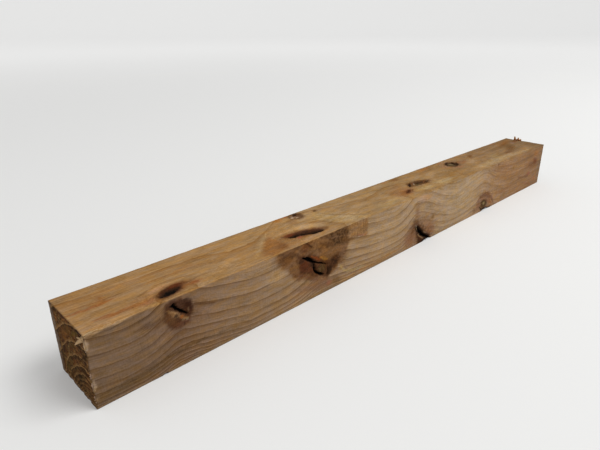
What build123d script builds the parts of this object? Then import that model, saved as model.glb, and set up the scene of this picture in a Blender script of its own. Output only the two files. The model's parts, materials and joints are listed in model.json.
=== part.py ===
from build123d import *
import os

# A square-section length of sawn softwood lying on a level floor, in millimetres.
# The origin is on the floor, under the middle of the timber. +X runs along the grain from
# the near end to the far end, -Y is the front face and +Z is up.

length = 525.0
width = 45.0
height = 45.0

# The saw leaves the long edges almost sharp, and handling rubs them a little.
arris_radius = 0.6
end_break = 0.3

# A splinter has torn out of the near top corner of the front face.
chip_run = 28.0
chip_drop = 1.8
chip_width = 0.9

# Splinters that the saw tore loose stand up from the top face, just inside the far end. Each
# is rooted in the wood and tapers to its tip.
splinter_thickness = 1.2
splinter_root = 0.8
splinter_tip_share = 0.35

# Every opening narrows from its mouth to its floor, and is cut from just outside the face.
floor_share = 0.45
overcut = 0.4

near_end = -length / 2
front = -width / 2

# Sketch planes with x along the grain from the near end. On the front face y is the height
# above the floor, and on the top face y is the distance from the front edge.
front_face = Plane(origin=(near_end, front, 0), x_dir=(1, 0, 0), z_dir=(0, -1, 0))
top_face = Plane(origin=(near_end, front, height), x_dir=(1, 0, 0), z_dir=(0, 0, 1))


def seat_planes(face, along, across, depth, lean):
    """Give the mouth and floor planes of an opening, each with the share of its full size."""
    for level, share in ((overcut, 1.0), (-depth, floor_share)):
        yield Plane(face.location * Location((along, across, level), (0, 0, lean))), share


def crack(face, along, across, span, gape, depth, lean, bow=0.0):
    """Cut a drying crack whose mouth is two arcs that meet at its tips.

    along and across place its middle, span and gape are the mouth's length and width, lean
    turns it from the grain in degrees, and bow bends its middle sideways.
    """
    outlines = []
    for seat, share in seat_planes(face, along, across, depth, lean):
        tip = share * span / 2
        with BuildSketch(seat) as outline:
            with BuildLine():
                ThreePointArc((-tip, 0), (0, bow + share * gape / 2), (tip, 0))
                ThreePointArc((tip, 0), (0, bow - share * gape / 2), (-tip, 0))
            make_face()
        outlines.append(outline.sketch)
    loft(outlines, mode=Mode.SUBTRACT)


def pocket(face, along, across, span, gape, depth, lean):
    """Cut an oval pocket, where bark or rotten wood has fallen out of a knot."""
    outlines = []
    for seat, share in seat_planes(face, along, across, depth, lean):
        with BuildSketch(seat) as outline:
            Ellipse(share * span / 2, share * gape / 2)
        outlines.append(outline.sketch)
    loft(outlines, mode=Mode.SUBTRACT)


def splinter(across, breadth, rise):
    """Raise a splinter from the top face at the far end.

    across places its middle, breadth is its size along the cut and rise is its height.
    """
    along = length - end_break - splinter_thickness / 2
    outlines = []
    for level, share in ((-splinter_root, 1.0), (rise, splinter_tip_share)):
        with BuildSketch(Plane(top_face.location * Location((along, across, level)))) as outline:
            Rectangle(share * splinter_thickness, share * breadth)
        outlines.append(outline.sketch)
    loft(outlines)


with BuildPart() as sawn_timber:
    # The square stick, with its long edges rubbed and its two saw cuts slightly broken.
    with BuildSketch(Plane.YZ.offset(near_end)):
        Rectangle(width, height, align=(Align.CENTER, Align.MIN))
    extrude(amount=length)
    fillet(sawn_timber.edges().filter_by(Axis.X), radius=arris_radius)
    end_faces = sawn_timber.faces().filter_by(Axis.X)
    chamfer(end_faces.edges(), length=end_break)

    # The torn corner is cut by the plane through the three places where the tear runs out.
    on_top = Vector(near_end, front + chip_width, height)
    on_front = Vector(near_end, front, height - chip_drop)
    along_edge = Vector(near_end + chip_run, front, height)
    tear_normal = (on_top - on_front).cross(along_edge - on_front)
    split(bisect_by=Plane(origin=on_front, z_dir=tear_normal), keep=Keep.TOP)

    # Front face, first knot: a crack across the top of its core.
    crack(front_face, along=51.8, across=37.3, span=12.5, gape=2.2, depth=4.0, lean=-42)
    pocket(front_face, along=48.3, across=40.6, span=4.0, gape=2.8, depth=3.0, lean=-20)

    # Front face, second knot: two cracks that meet in the middle of a large spike knot.
    crack(front_face, along=156.5, across=29.6, span=27.0, gape=2.3, depth=5.0, lean=-29, bow=-0.8)
    crack(front_face, along=160.2, across=21.5, span=16.5, gape=3.0, depth=5.0, lean=-55, bow=0.9)
    crack(front_face, along=168.8, across=17.5, span=11.0, gape=2.0, depth=3.0, lean=-88, bow=0.6)

    # Front face, third knot: a bark pocket that runs out through the lower edge.
    crack(front_face, along=284.8, across=12.2, span=17.0, gape=4.2, depth=7.0, lean=-50)
    pocket(front_face, along=294.8, across=2.6, span=13.0, gape=5.2, depth=7.0, lean=-28)

    # Front face, fourth knot: its lower side has broken away at the edge.
    pocket(front_face, along=400.0, across=0.6, span=14.0, gape=5.4, depth=5.0, lean=0)

    # Lower front edge: a small nick beside the first knot.
    pocket(front_face, along=39.0, across=0.0, span=3.4, gape=1.8, depth=1.2, lean=0)

    # Top face: the pocket above the first knot, and the long crack above the second.
    pocket(top_face, along=50.6, across=7.6, span=14.0, gape=5.4, depth=3.5, lean=19)
    crack(top_face, along=158.5, across=12.6, span=28.0, gape=5.2, depth=4.5, lean=-18, bow=0.7)

    # Top face, the pair of knots at mid-length: a crack in each.
    crack(top_face, along=281.8, across=13.6, span=8.0, gape=2.2, depth=2.5, lean=28)
    crack(top_face, along=297.0, across=22.6, span=10.0, gape=2.6, depth=3.0, lean=33)
    crack(top_face, along=313.0, across=18.0, span=14.0, gape=2.0, depth=2.0, lean=14)

    # Top face, last knot: cracks round two sides of its core.
    crack(top_face, along=378.2, across=34.2, span=12.5, gape=1.8, depth=2.5, lean=34, bow=1.8)
    crack(top_face, along=383.2, across=30.4, span=11.0, gape=3.4, depth=3.5, lean=62)

    # Top face, far end: three torn splinters side by side.
    splinter(across=33.1, breadth=2.4, rise=3.8)
    splinter(across=30.0, breadth=2.2, rise=3.2)
    splinter(across=27.3, breadth=1.6, rise=2.0)

sawn_timber.part.label = "sawn_timber"

os.makedirs("parts", exist_ok=True)
export_step(sawn_timber.part, "parts/sawn_timber.step")

box = sawn_timber.part.bounding_box()
print("solids", len(sawn_timber.solids()), "size", box.size, "volume", round(sawn_timber.part.volume))
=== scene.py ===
# %% [markdown]
# # A square sawn timber batten
#
# The object is one piece of knotty softwood with a square section, cut off at both ends by a
# coarse saw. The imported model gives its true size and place, and this script gives it its
# looks: growth rings that bend round the knots, drying cracks, torn edges and loose fibres.
#
# Sizes are worked out in millimetres measured from one corner, as a joiner would: x runs
# along the grain from the near end, y back from the front face, z up from the floor.

# %% Load the frame and read the timber's size from its flat faces
import json
import math

import bpy
import numpy as np
from mathutils import Matrix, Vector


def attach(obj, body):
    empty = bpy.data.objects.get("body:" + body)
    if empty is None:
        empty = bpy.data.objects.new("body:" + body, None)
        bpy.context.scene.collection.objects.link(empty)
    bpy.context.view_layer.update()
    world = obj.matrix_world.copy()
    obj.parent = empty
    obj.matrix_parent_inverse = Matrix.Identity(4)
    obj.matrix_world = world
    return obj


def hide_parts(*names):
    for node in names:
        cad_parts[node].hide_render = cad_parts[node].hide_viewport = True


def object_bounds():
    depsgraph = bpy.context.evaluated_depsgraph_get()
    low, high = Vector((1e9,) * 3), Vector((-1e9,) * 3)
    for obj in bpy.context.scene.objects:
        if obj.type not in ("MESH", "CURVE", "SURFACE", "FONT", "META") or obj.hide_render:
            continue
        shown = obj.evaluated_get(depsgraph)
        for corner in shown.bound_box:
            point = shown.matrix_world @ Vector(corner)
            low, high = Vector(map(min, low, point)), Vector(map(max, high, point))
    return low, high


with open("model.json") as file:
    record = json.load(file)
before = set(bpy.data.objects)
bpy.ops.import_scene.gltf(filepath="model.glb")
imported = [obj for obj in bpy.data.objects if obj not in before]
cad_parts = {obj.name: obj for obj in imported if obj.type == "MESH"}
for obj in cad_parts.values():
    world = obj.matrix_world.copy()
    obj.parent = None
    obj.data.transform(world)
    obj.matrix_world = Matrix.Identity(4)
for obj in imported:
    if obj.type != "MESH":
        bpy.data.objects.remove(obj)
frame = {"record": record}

cad_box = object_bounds()
NODE = "sawn_timber"
BODY = "root"
MM = 0.001

faces = {mount["name"]: mount["pos_m"] for mount in frame["record"]["mounts"]}
START = faces["near_end"][0] / MM
LENGTH = faces["far_end"][0] / MM - START
WIDTH = 2 * faces["back_face"][1] / MM
HEIGHT = faces["top_face"][2] / MM
FRONT = -WIDTH / 2
print("timber", round(LENGTH, 1), "x", round(WIDTH, 1), "x", round(HEIGHT, 1), "mm")


# %% [markdown]
# ## Camera
#
# A photograph of a box tells where the camera stood: the seven corners and four long edges
# that can be seen fix its place, its direction and its lens. The camera is set by those
# measured values, with a slight turn about its own axis, so that the edges run as they do in
# the photograph.

# %% Camera
CAMERA_FROM_CORNER = (-63.87, -215.26, 184.17)
TURN_TO_RIGHT = math.radians(43.756)
LOOK_DOWN = math.radians(22.737)
ROLL = math.radians(-0.406)
LENS_MM = 30.415

forward = np.array([math.sin(TURN_TO_RIGHT) * math.cos(LOOK_DOWN),
                    math.cos(TURN_TO_RIGHT) * math.cos(LOOK_DOWN),
                    -math.sin(LOOK_DOWN)])
level_right = np.array([math.cos(TURN_TO_RIGHT), -math.sin(TURN_TO_RIGHT), 0.0])
level_up = np.cross(level_right, forward)
right = level_right * math.cos(ROLL) + level_up * math.sin(ROLL)
up = level_up * math.cos(ROLL) - level_right * math.sin(ROLL)

camera = bpy.data.objects.new("camera", bpy.data.cameras.new("camera"))
bpy.context.scene.collection.objects.link(camera)
camera.data.lens = LENS_MM
camera.data.sensor_width = 36.0
camera.data.clip_start = 0.01
pose = Matrix.Identity(4)
for row in range(3):
    pose[row][0], pose[row][1], pose[row][2] = right[row], up[row], -forward[row]
pose[0][3] = (CAMERA_FROM_CORNER[0] + START) * MM
pose[1][3] = (CAMERA_FROM_CORNER[1] + FRONT) * MM
pose[2][3] = CAMERA_FROM_CORNER[2] * MM
camera.matrix_world = pose
bpy.context.scene.camera = camera
print("camera at", [round(v, 3) for v in camera.location])


# %% [markdown]
# ## Shader arithmetic
#
# A shader is a sum written with nodes. The first class below lets a socket stand in a Python
# sum, so that each formula is read as a formula, and the second adds the nodes to a material.

# %% Sockets that can be added and multiplied
class Wire:
    """One socket of a material, which can be used in sums with numbers and other sockets."""

    def __init__(self, bench, socket):
        self.bench, self.socket = bench, socket

    def __add__(self, other):
        return self.bench.sum("ADD", self, other)

    def __sub__(self, other):
        return self.bench.sum("SUBTRACT", self, other)

    def __mul__(self, other):
        return self.bench.sum("MULTIPLY", self, other)

    def __truediv__(self, other):
        return self.bench.sum("DIVIDE", self, other)

    def __rsub__(self, other):
        return self.bench.sum("SUBTRACT", other, self)

    def __rtruediv__(self, other):
        return self.bench.sum("DIVIDE", other, self)

    def __neg__(self):
        return self.bench.sum("MULTIPLY", self, -1.0)

    __radd__, __rmul__ = __add__, __mul__


class Bench:
    """Adds nodes to one material."""

    def __init__(self, name):
        self.material = bpy.data.materials.new(name)
        self.material.use_nodes = True
        self.tree = self.material.node_tree
        self.shader = self.tree.nodes["Principled BSDF"]

    def feed(self, socket, value):
        """Set a socket to a number or colour, or link a wire to it."""
        if isinstance(value, Wire):
            self.tree.links.new(value.socket, socket)
        elif isinstance(value, tuple) and len(value) == 3 and socket.type == "RGBA":
            socket.default_value = (*value, 1.0)
        else:
            socket.default_value = value

    def node(self, kind, settings, inputs, output=0):
        """Make any node: settings first, then the values or wires of its sockets."""
        made = self.tree.nodes.new(kind)
        for name, value in settings.items():
            setattr(made, name, value)
        for key, value in inputs.items():
            self.feed(made.inputs[key], value)
        return Wire(self, made.outputs[output])

    def sum(self, operation, *values):
        return self.node("ShaderNodeMath", {"operation": operation}, dict(enumerate(values)))

    def vector(self, operation, first, second=(0.0, 0.0, 0.0), output=0):
        return self.node("ShaderNodeVectorMath", {"operation": operation}, {0: first, 1: second}, output)

    def join(self, x, y, z):
        return self.node("ShaderNodeCombineXYZ", {}, {0: x, 1: y, 2: z})

    def ease(self, value, low, high, at_low=0.0, at_high=1.0):
        """A smooth step from at_low to at_high as value goes from low to high."""
        return self.node("ShaderNodeMapRange", {"interpolation_type": "SMOOTHSTEP"},
                         {0: value, 1: low, 2: high, 3: at_low, 4: at_high})

    def mix(self, factor, first, second):
        """A colour between two colours."""
        return self.node("ShaderNodeMix", {"data_type": "RGBA"}, {0: factor, 6: first, 7: second}, 2)

    def scale(self, colour, factor):
        """A colour made lighter or darker by a factor."""
        return self.node("ShaderNodeVectorMath", {"operation": "SCALE"}, {0: colour, 3: factor})

    def split(self, vector):
        """The three parts of a vector."""
        made = self.node("ShaderNodeSeparateXYZ", {}, {0: vector}).socket.node
        return [Wire(self, socket) for socket in made.outputs]

    def ramp(self, factor, stops):
        """A colour ramp: stops are (place, linear colour) from low to high."""
        made = self.node("ShaderNodeValToRGB", {}, {0: factor}).socket.node
        while len(made.color_ramp.elements) < len(stops):
            made.color_ramp.elements.new(1.0)
        for element, (position, linear) in zip(made.color_ramp.elements, stops):
            element.position, element.color = position, (*linear, 1.0)
        return Wire(self, made.outputs[0])

    def noise(self, vector, detail=2.0, roughness=0.5):
        """Soft noise from 0 to 1 with one blob to each unit of the vector."""
        return self.node("ShaderNodeTexNoise", {}, {"Vector": vector, "Scale": 1.0, "Detail": detail,
                                                    "Roughness": roughness})

    def multiply_add(self, first, by, plus):
        """A vector times another, plus a third."""
        return self.node("ShaderNodeVectorMath", {"operation": "MULTIPLY_ADD"}, {0: first, 1: by, 2: plus})

    def object_place(self):
        """The place of each point in the object's own metres."""
        return self.node("ShaderNodeTexCoord", {}, {}, "Object")

    def attribute(self, name, output):
        """A mesh attribute: output 1 gives it as a vector and output 2 as a number."""
        return self.node("ShaderNodeAttribute", {"attribute_name": name}, {}, output)

    def dress(self, colour, roughness, specular, bumps=None, strength=0.0):
        """Set the shader's sockets, with bumps as a height in millimetres."""
        self.feed(self.shader.inputs["Base Color"], colour)
        self.feed(self.shader.inputs["Roughness"], roughness)
        self.feed(self.shader.inputs["Specular IOR Level"], specular)
        if bumps is not None:
            bump = self.node("ShaderNodeBump", {}, {"Strength": strength, "Distance": MM, "Height": bumps})
            self.feed(self.shader.inputs["Normal"], bump)


# %% [markdown]
# ## Light and floor
#
# The light is a plain studio: an even sky, and one wide soft lamp high up over the front
# right, so that the top face is brightest, the front a little darker and the near end
# darkest, as in the photograph. The floor is pale and sweeps up into a backdrop far behind,
# so that no horizon cuts across the picture. The lamp's light falls off over the floor, so
# its paint glows a little, more so far away, for the camera alone.

# %% Sky and lamp
SKY = 0.50
LAMP_WATTS = 26.0
FLOOR_GREY = 0.70
FLOOR_GLOW = 0.155
FAR_GLOW = 0.445
GLOW_FROM, GLOW_TO = 0.1, 2.9

bpy.context.scene.view_settings.view_transform = "Standard"

world = bpy.data.worlds.new("studio")
bpy.context.scene.world = world
world.use_nodes = True
world.node_tree.nodes["Background"].inputs["Color"].default_value = (1.0, 1.0, 1.0, 1.0)
world.node_tree.nodes["Background"].inputs["Strength"].default_value = SKY

lamp = bpy.data.objects.new("soft_lamp", bpy.data.lights.new("soft_lamp", "AREA"))
bpy.context.scene.collection.objects.link(lamp)
lamp.data.shape = "RECTANGLE"
lamp.data.size, lamp.data.size_y = 1.3, 1.0
lamp.data.energy = LAMP_WATTS
lamp.location = (0.60, -0.88, 1.72)
lamp.rotation_euler = (-lamp.location).to_track_quat("-Z", "Y").to_euler()


# %% Floor and backdrop in one sheet
def sweep_mesh(name, radius=3.0, wide=8.0, tall=4.0, steps=24):
    """A floor strip that curves up into a wall: flat, then a quarter circle, then upright.

    The profile is carried straight across. Its flat part ends 4 m behind the object.
    """
    turn = np.linspace(0, math.pi / 2, steps)
    away = np.concatenate(([-4.0], 4.0 + radius * np.sin(turn), [4.0 + radius]))
    rise = np.concatenate(([0.0], radius * (1 - np.cos(turn)), [tall + radius]))
    heading = np.array([math.sin(TURN_TO_RIGHT), math.cos(TURN_TO_RIGHT)])
    side = np.array([heading[1], -heading[0]])
    across = np.array([-wide, wide])
    plan = away[:, None, None] * heading + across[None, :, None] * side
    verts = np.concatenate((plan, np.broadcast_to(rise[:, None, None], plan.shape[:2] + (1,))), 2)
    rows = np.arange(len(away) - 1)[:, None] * 2
    quads = rows + np.array([[0, 1, 3, 2]])
    mesh = bpy.data.meshes.new(name)
    mesh.from_pydata(verts.reshape(-1, 3).tolist(), [], quads.tolist())
    mesh.polygons.foreach_set("use_smooth", np.ones(len(mesh.polygons), bool))
    return mesh


floor = bpy.data.objects.new("floor_sweep", sweep_mesh("floor_sweep"))
bpy.context.scene.collection.objects.link(floor)
paint = Bench("floor_paint")
far_off = paint.vector("LENGTH", paint.object_place(), output=1)
glow = paint.ease(far_off, GLOW_FROM, GLOW_TO, FLOOR_GLOW, FAR_GLOW)
glow = glow * paint.node("ShaderNodeLightPath", {}, {})
paint.dress((FLOOR_GREY, FLOOR_GREY, FLOOR_GREY * 0.985), roughness=0.9, specular=0.1)
paint.feed(paint.shader.inputs["Emission Color"], paint.join(glow, glow, glow))
paint.shader.inputs["Emission Strength"].default_value = 1.0
floor.data.materials.append(paint.material)
print("floor and lamp ready")


# %% [markdown]
# ## The timber's surface
#
# The timber is one closed surface. It is a grid: stations along the length, and points round
# the square section at each station. Both are spaced closely where the knots are and widely
# elsewhere, so that cracks two millimetres wide come out sharp without a heavy mesh.

# %% Helpers for smooth steps and soft random fields
def smooth(low, high, value):
    """0 below low, 1 above high, and the cubic 3t^2 - 2t^3 in between."""
    t = np.clip((value - low) / (high - low), 0.0, 1.0)
    return t * t * (3.0 - 2.0 * t)


def cloud(a, b, seed):
    """A soft random field from -1 to 1: random values at whole numbers, eased in between."""
    lattice = np.random.default_rng(seed).uniform(-1.0, 1.0, (64, 64))
    a, b = np.broadcast_arrays(np.asarray(a, float), np.asarray(b, float))
    low_a, low_b = np.floor(a).astype(int), np.floor(b).astype(int)
    ease_a, ease_b = smooth(0, 1, a - low_a), smooth(0, 1, b - low_b)
    corner = [[lattice[(low_a + i) % 64, (low_b + j) % 64] for j in (0, 1)] for i in (0, 1)]
    near_side = corner[0][0] * (1 - ease_b) + corner[0][1] * ease_b
    far_side = corner[1][0] * (1 - ease_b) + corner[1][1] * ease_b
    return near_side * (1 - ease_a) + far_side * ease_a


# %% Stations along the length
KNOT_SPANS = [(38, 66), (138, 216), (262, 326), (368, 414)]
FINE_STEP = 0.86
COARSE_STEP = 3.4


def spaced(length, spans, fine, coarse, margin=6.0):
    """Stations whose spacing eases from coarse to fine inside each span and at both ends.

    The number of points per millimetre is a sum of smooth bumps. Its running total is
    turned round, so that equal steps of the total give the stations.
    """
    ruler = np.linspace(0, length, 4001)
    share = np.maximum(1 - smooth(1.0, 8.0, ruler), smooth(length - 8.0, length - 1.0, ruler))
    for low, high in spans:
        inside = smooth(low - margin, low, ruler) * (1 - smooth(high, high + margin, ruler))
        share = np.maximum(share, inside)
    density = share / fine + (1 - share) / coarse
    total = np.concatenate(([0], np.cumsum((density[1:] + density[:-1]) / 2 * np.diff(ruler))))
    count = int(round(total[-1])) + 1
    return np.interp(np.linspace(0, total[-1], count), total, ruler)


stations = spaced(LENGTH, KNOT_SPANS, FINE_STEP, COARSE_STEP)
print("stations", len(stations))

# %% Points round the section
ARRIS = 0.55
SKIN = 0.22
FINE_PITCH = 0.60
PLAIN_PITCH = 1.5


def side_points(length, step):
    """Even points along one side, with two more close to each corner for its rounding."""
    even = np.linspace(0, length, int(round(length / step)) + 1)[:-1]
    return np.unique(np.concatenate((even, [0.25, 0.55, length - 0.55, length - 0.25])))


def section_loop(width, height):
    """The section, from the front bottom corner up the front, over, down and back.

    Each point of the square is moved onto a rounded square: the part of it that lies past
    the inner square is given the length of the rounding.
    """
    up_front = side_points(height, FINE_PITCH)
    over_top = side_points(width, FINE_PITCH)
    down_back = side_points(height, PLAIN_PITCH)
    back_under = side_points(width, PLAIN_PITCH)
    y = np.concatenate((0 * up_front, over_top, 0 * down_back + width, width - back_under))
    z = np.concatenate((up_front, 0 * over_top + height, height - down_back, 0 * back_under))
    core_y, core_z = np.clip(y, ARRIS, width - ARRIS), np.clip(z, ARRIS, height - ARRIS)
    out_y, out_z = y - core_y, z - core_z
    reach = np.hypot(out_y, out_z)
    out_y, out_z = out_y / reach, out_z / reach
    return core_y + ARRIS * out_y, core_z + ARRIS * out_z, out_y, out_z


loop_y, loop_z, out_y, out_z = section_loop(WIDTH, HEIGHT)
print("points round the section", len(loop_y))


# %% [markdown]
# ## Cracks and pockets
#
# A knot is a branch that the trunk grew round. As it dries it shrinks and splits, and dead
# bark falls out of it. Each crack has a course of a few points on its face and a widest
# opening, and its depth at a place depends on the distance to that course. Pockets are ovals.

# %% Distance to a course, and the two shapes of opening
def near_course(a, b, course):
    """Distance from each place to a course of straight legs, and the share of it passed there.

    For each leg the foot of the perpendicular is kept between the leg's ends, and of all
    legs the nearest foot counts.
    """
    course = np.array(course, float)
    legs = np.diff(course, axis=0)
    leg_length = np.hypot(legs[:, 0], legs[:, 1])
    before = np.concatenate(([0], np.cumsum(leg_length)))
    nearest = np.full(np.broadcast(a, b).shape, 1e3)
    passed = np.zeros_like(nearest)
    for i, leg in enumerate(legs):
        foot = ((a - course[i, 0]) * leg[0] + (b - course[i, 1]) * leg[1]) / leg_length[i] ** 2
        foot = np.clip(foot, 0.0, 1.0)
        gap = np.hypot(a - course[i, 0] - foot * leg[0], b - course[i, 1] - foot * leg[1])
        passed = np.where(gap < nearest, (before[i] + foot * leg_length[i]) / before[-1], passed)
        nearest = np.minimum(nearest, gap)
    return nearest, passed


def crack_depth(a, b, course, gape, depth, seed=0):
    """Depth of a crack: the distance to its course over half its opening there.

    The opening is widest half-way along and closes at both ends, as the root of a sine, and
    a soft random field varies it by up to 45 per cent. The floor is level over the inner
    third, and the walls rise smoothly to the lips.
    """
    gap, passed = near_course(a, b, course)
    half = gape / 2 * np.sin(math.pi * np.clip(passed, 0.03, 0.97)) ** 0.5
    half = half * (1 + 0.45 * cloud(passed * 9, seed, seed))
    return depth * (1 - smooth(0.3, 1.15, gap / half))


def oval_distance(a, b, centre, radii, lean):
    """Distance from an oval's centre, counted in its radii, the first of them leaning."""
    turn = math.radians(lean)
    da, db = a - centre[0], b - centre[1]
    across = (da * math.cos(turn) + db * math.sin(turn)) / radii[0]
    upright = (db * math.cos(turn) - da * math.sin(turn)) / radii[1]
    return np.hypot(across, upright)


def pocket_depth(a, b, centre, radii, lean, depth, seed=0):
    """Depth of an oval pocket: a lumpy floor in its middle, then a smooth ragged wall."""
    ragged = 1 + 0.2 * cloud(a * 0.8, b * 0.8, seed)
    lumpy = 1 + 0.35 * cloud(a / 1.3, b / 1.6, seed + 40)
    return depth * lumpy * (1 - smooth(0.45, 1.1, oval_distance(a, b, centre, radii, lean) * ragged))


def blob(a, b, centre, radii, lean=0.0, soft=0.5, seed=0, wobble=0.14):
    """How much an oval covers each place: 1 inside, 0 outside, over a soft and ragged rim.

    The distance in radii is stretched by a soft random share, and the rim's ease starts at
    1 less the softness.
    """
    ragged = 1 + wobble * cloud(a * 0.45, b * 0.7, seed) + 0.6 * wobble * cloud(a * 1.3, b * 1.9, seed + 1)
    return 1 - smooth(1 - soft, 1 + 0.35 * soft, oval_distance(a, b, centre, radii, lean) * ragged)


# %% Openings on the front face, as depth over (x, z)
def front_openings(x, z):
    """The deepest of the front face's cracks and pockets at each place."""
    parts = [
        crack_depth(x, z, [(46.4, 40.4), (48.4, 39.6), (50.2, 37.2), (53.2, 34.4), (56.6, 31.6)], 2.2, 4, 1),
        pocket_depth(x, z, (48.2, 40.0), (1.6, 1.4), 0, 3.2, 2),
        crack_depth(x, z, [(145.2, 34.4), (149.5, 32.2), (153.5, 29.6), (156.5, 27.2)], 2.6, 4.5, 3),
        crack_depth(x, z, [(152.5, 30), (157, 27), (162, 24.8), (167.5, 22.4)], 1.5, 4, 8),
        crack_depth(x, z, [(155.4, 27), (156.0, 23), (157.6, 19.6), (161, 17.0), (165.2, 14.8)], 2.5, 5, 4),
        crack_depth(x, z, [(168.8, 21.4), (169.4, 18), (169.4, 15), (168.6, 12)], 1.4, 1.3, 5),
        crack_depth(x, z, [(146, 46), (148, 44.6), (150.5, 42.4), (154.5, 38.8)], 0.8, 0.5, 6),
        crack_depth(x, z, [(276.4, 17.4), (277.6, 14.9), (279.2, 12.6)], 1.5, 3, 9),
        crack_depth(x, z, [(279.2, 17.0), (281.6, 13.6), (285.4, 9.9), (289.5, 6.8), (292.5, 5)], 4.0, 5, 7),
        crack_depth(x, z, [(289, 6.4), (292, 5.0), (296, 3.2), (300.5, 0.4)], 3.6, 5, 8),
        pocket_depth(x, z, (417.8, 42.8), (1.5, 1.1), 20, 0.7, 10),
    ]
    return np.maximum.reduce(parts)


# %% Openings on the top face, as depth over (x, y)
def top_openings(x, y):
    """The deepest of the top face's cracks and pockets at each place."""
    parts = [
        pocket_depth(x, y, (50.8, 7.5), (7.6, 3.0), 17, 1.45, 11),
        crack_depth(x, y, [(145.0, 14.6), (149, 13.4), (154, 13.6)], 3.2, 3.0, 12),
        crack_depth(x, y, [(153.5, 13.2), (158.5, 11.4), (163, 8.8), (171.5, 7.6)], 4.6, 4.0, 22),
        pocket_depth(x, y, (176, 41.2), (2.6, 1.5), 20, 0.9, 13),
        pocket_depth(x, y, (193.4, 37.6), (1.7, 1.5), 0, 0.6, 14),
        crack_depth(x, y, [(279.0, 12.0), (281.5, 13.4), (284.6, 15.2)], 1.6, 0.45, 15),
        crack_depth(x, y, [(293.0, 19.6), (296, 22.5), (299.6, 25.2)], 2.4, 1.0, 16),
        crack_depth(x, y, [(308, 16.4), (313, 18.0), (318, 20.6)], 1.7, 0.5, 17),
        crack_depth(x, y, [(372.6, 30.5), (374.6, 34), (378, 36.4), (382.5, 37.8)], 1.8, 0.9, 18),
        crack_depth(x, y, [(381.6, 28.6), (383.0, 31.5), (385.6, 34.8)], 2.8, 1.2, 19),
        crack_depth(x, y, [(381.6, 26.0), (385, 28), (389.5, 31.5)], 2.2, 0.9, 20),
    ]
    return np.maximum.reduce(parts)


# %% [markdown]
# ## The surface itself
#
# Every point of the section is moved inward by the depth of the openings on its face, plus a
# fine unevenness left by the saw. Two bites and a small nick are missing from the lower front
# edge: there the strip on either side of it is carried onto a quarter of an oval hollow.

# %% Which face each point of the section belongs to
FACING = {"front": np.clip(-out_y, 0, 1) ** 2, "top": np.clip(out_z, 0, 1) ** 2,
          "back": np.clip(out_y, 0, 1) ** 2, "under": np.clip(-out_z, 0, 1) ** 2}
ROUND = np.arange(len(loop_y))[None, :] * 0.5
LINE = stations[:, None]
CORNER = smooth(0.45, 0.75, np.minimum(np.abs(out_y), np.abs(out_z)))[None, :]


# %% Where the grain is torn
TORN_OUTLINE = [(120.4, 46), (121.4, 40.5), (125, 35.5), (129.6, 31.2), (132.8, 27), (136.5, 23), (142, 19.4),
                (152, 16.0), (160, 13), (168, 10.5), (176, 13.5), (184, 18.5), (189, 26), (191.5, 31.5),
                (196, 33.4), (203, 32.6), (211.8, 30.4), (211.8, 46)]


def within(a, b, outline):
    """Distance to a closed outline of straight legs: above 0 inside it and below 0 outside.

    A line drawn from an inside place towards +a crosses the outline an odd number of times.
    """
    closed = [*outline, outline[0]]
    gap, _ = near_course(a, b, closed)
    odd = np.zeros(gap.shape, bool)
    for (a0, b0), (a1, b1) in zip(closed, closed[1:]):
        if b0 != b1:
            odd ^= ((b0 > b) != (b1 > b)) & (a < a0 + (b - b0) * (a1 - a0) / (b1 - b0))
    return np.where(odd, gap, -gap)


def torn_grain(x, z):
    """How much the front face is torn round its large knot: 1 inside, 0 outside."""
    return smooth(-0.6, 1.4, within(x, z, TORN_OUTLINE) + 0.8 * cloud(x / 2.5, z / 2.0, 81))


# %% Grid of the long surface
def long_surface():
    """Points (stations, loop, 3) of the four long faces, and how dark each one is to be painted.

    The skin is uneven by a tenth of a millimetre. The corners are worn by up to 0.65 mm in
    runs a few millimetres long, and less near the ends. Torn grain is rougher, in short
    ridges. The darkness is the depth of the opening, and half as much again in the top face;
    the shader turns it into painted shade and dead bark inside the openings.
    """
    hollow = FACING["front"] * front_openings(LINE, loop_z[None, :])
    hollow = hollow + FACING["top"] * top_openings(LINE, loop_y[None, :])
    uneven = 0.08 * cloud(LINE / 7, ROUND / 5, 31) + 0.05 * cloud(LINE / 1.6, ROUND / 2.2, 32)
    ridges = 0.30 * cloud(LINE / 1.7, ROUND / 1.1, 34) + 0.2 * cloud(LINE / 3.5, ROUND / 3, 35)
    rough = FACING["front"] * torn_grain(LINE, loop_z[None, :]) * (ridges + 0.25)
    worn = CORNER * (0.15 + 0.5 * smooth(0.0, 0.8, cloud(LINE / 3.1, ROUND / 30, 33)))
    worn = worn * (0.3 + 0.7 * smooth(0, 6, np.minimum(LINE, LENGTH - LINE)))
    sunk = hollow + SKIN + uneven + worn + rough
    flat = FACING["under"][None, :] > 0.9
    sunk = np.where(flat, np.maximum(sunk - SKIN - 0.1, 0.0), np.maximum(sunk, 0.03))
    y = loop_y[None, :] - out_y[None, :] * sunk
    z = loop_z[None, :] - out_z[None, :] * sunk
    x = np.broadcast_to(LINE, y.shape).copy()
    return np.stack((x, y, z), 2), hollow * (1 + 0.5 * FACING["top"])


surface, hollow = long_surface()
print("surface", surface.shape)


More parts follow.
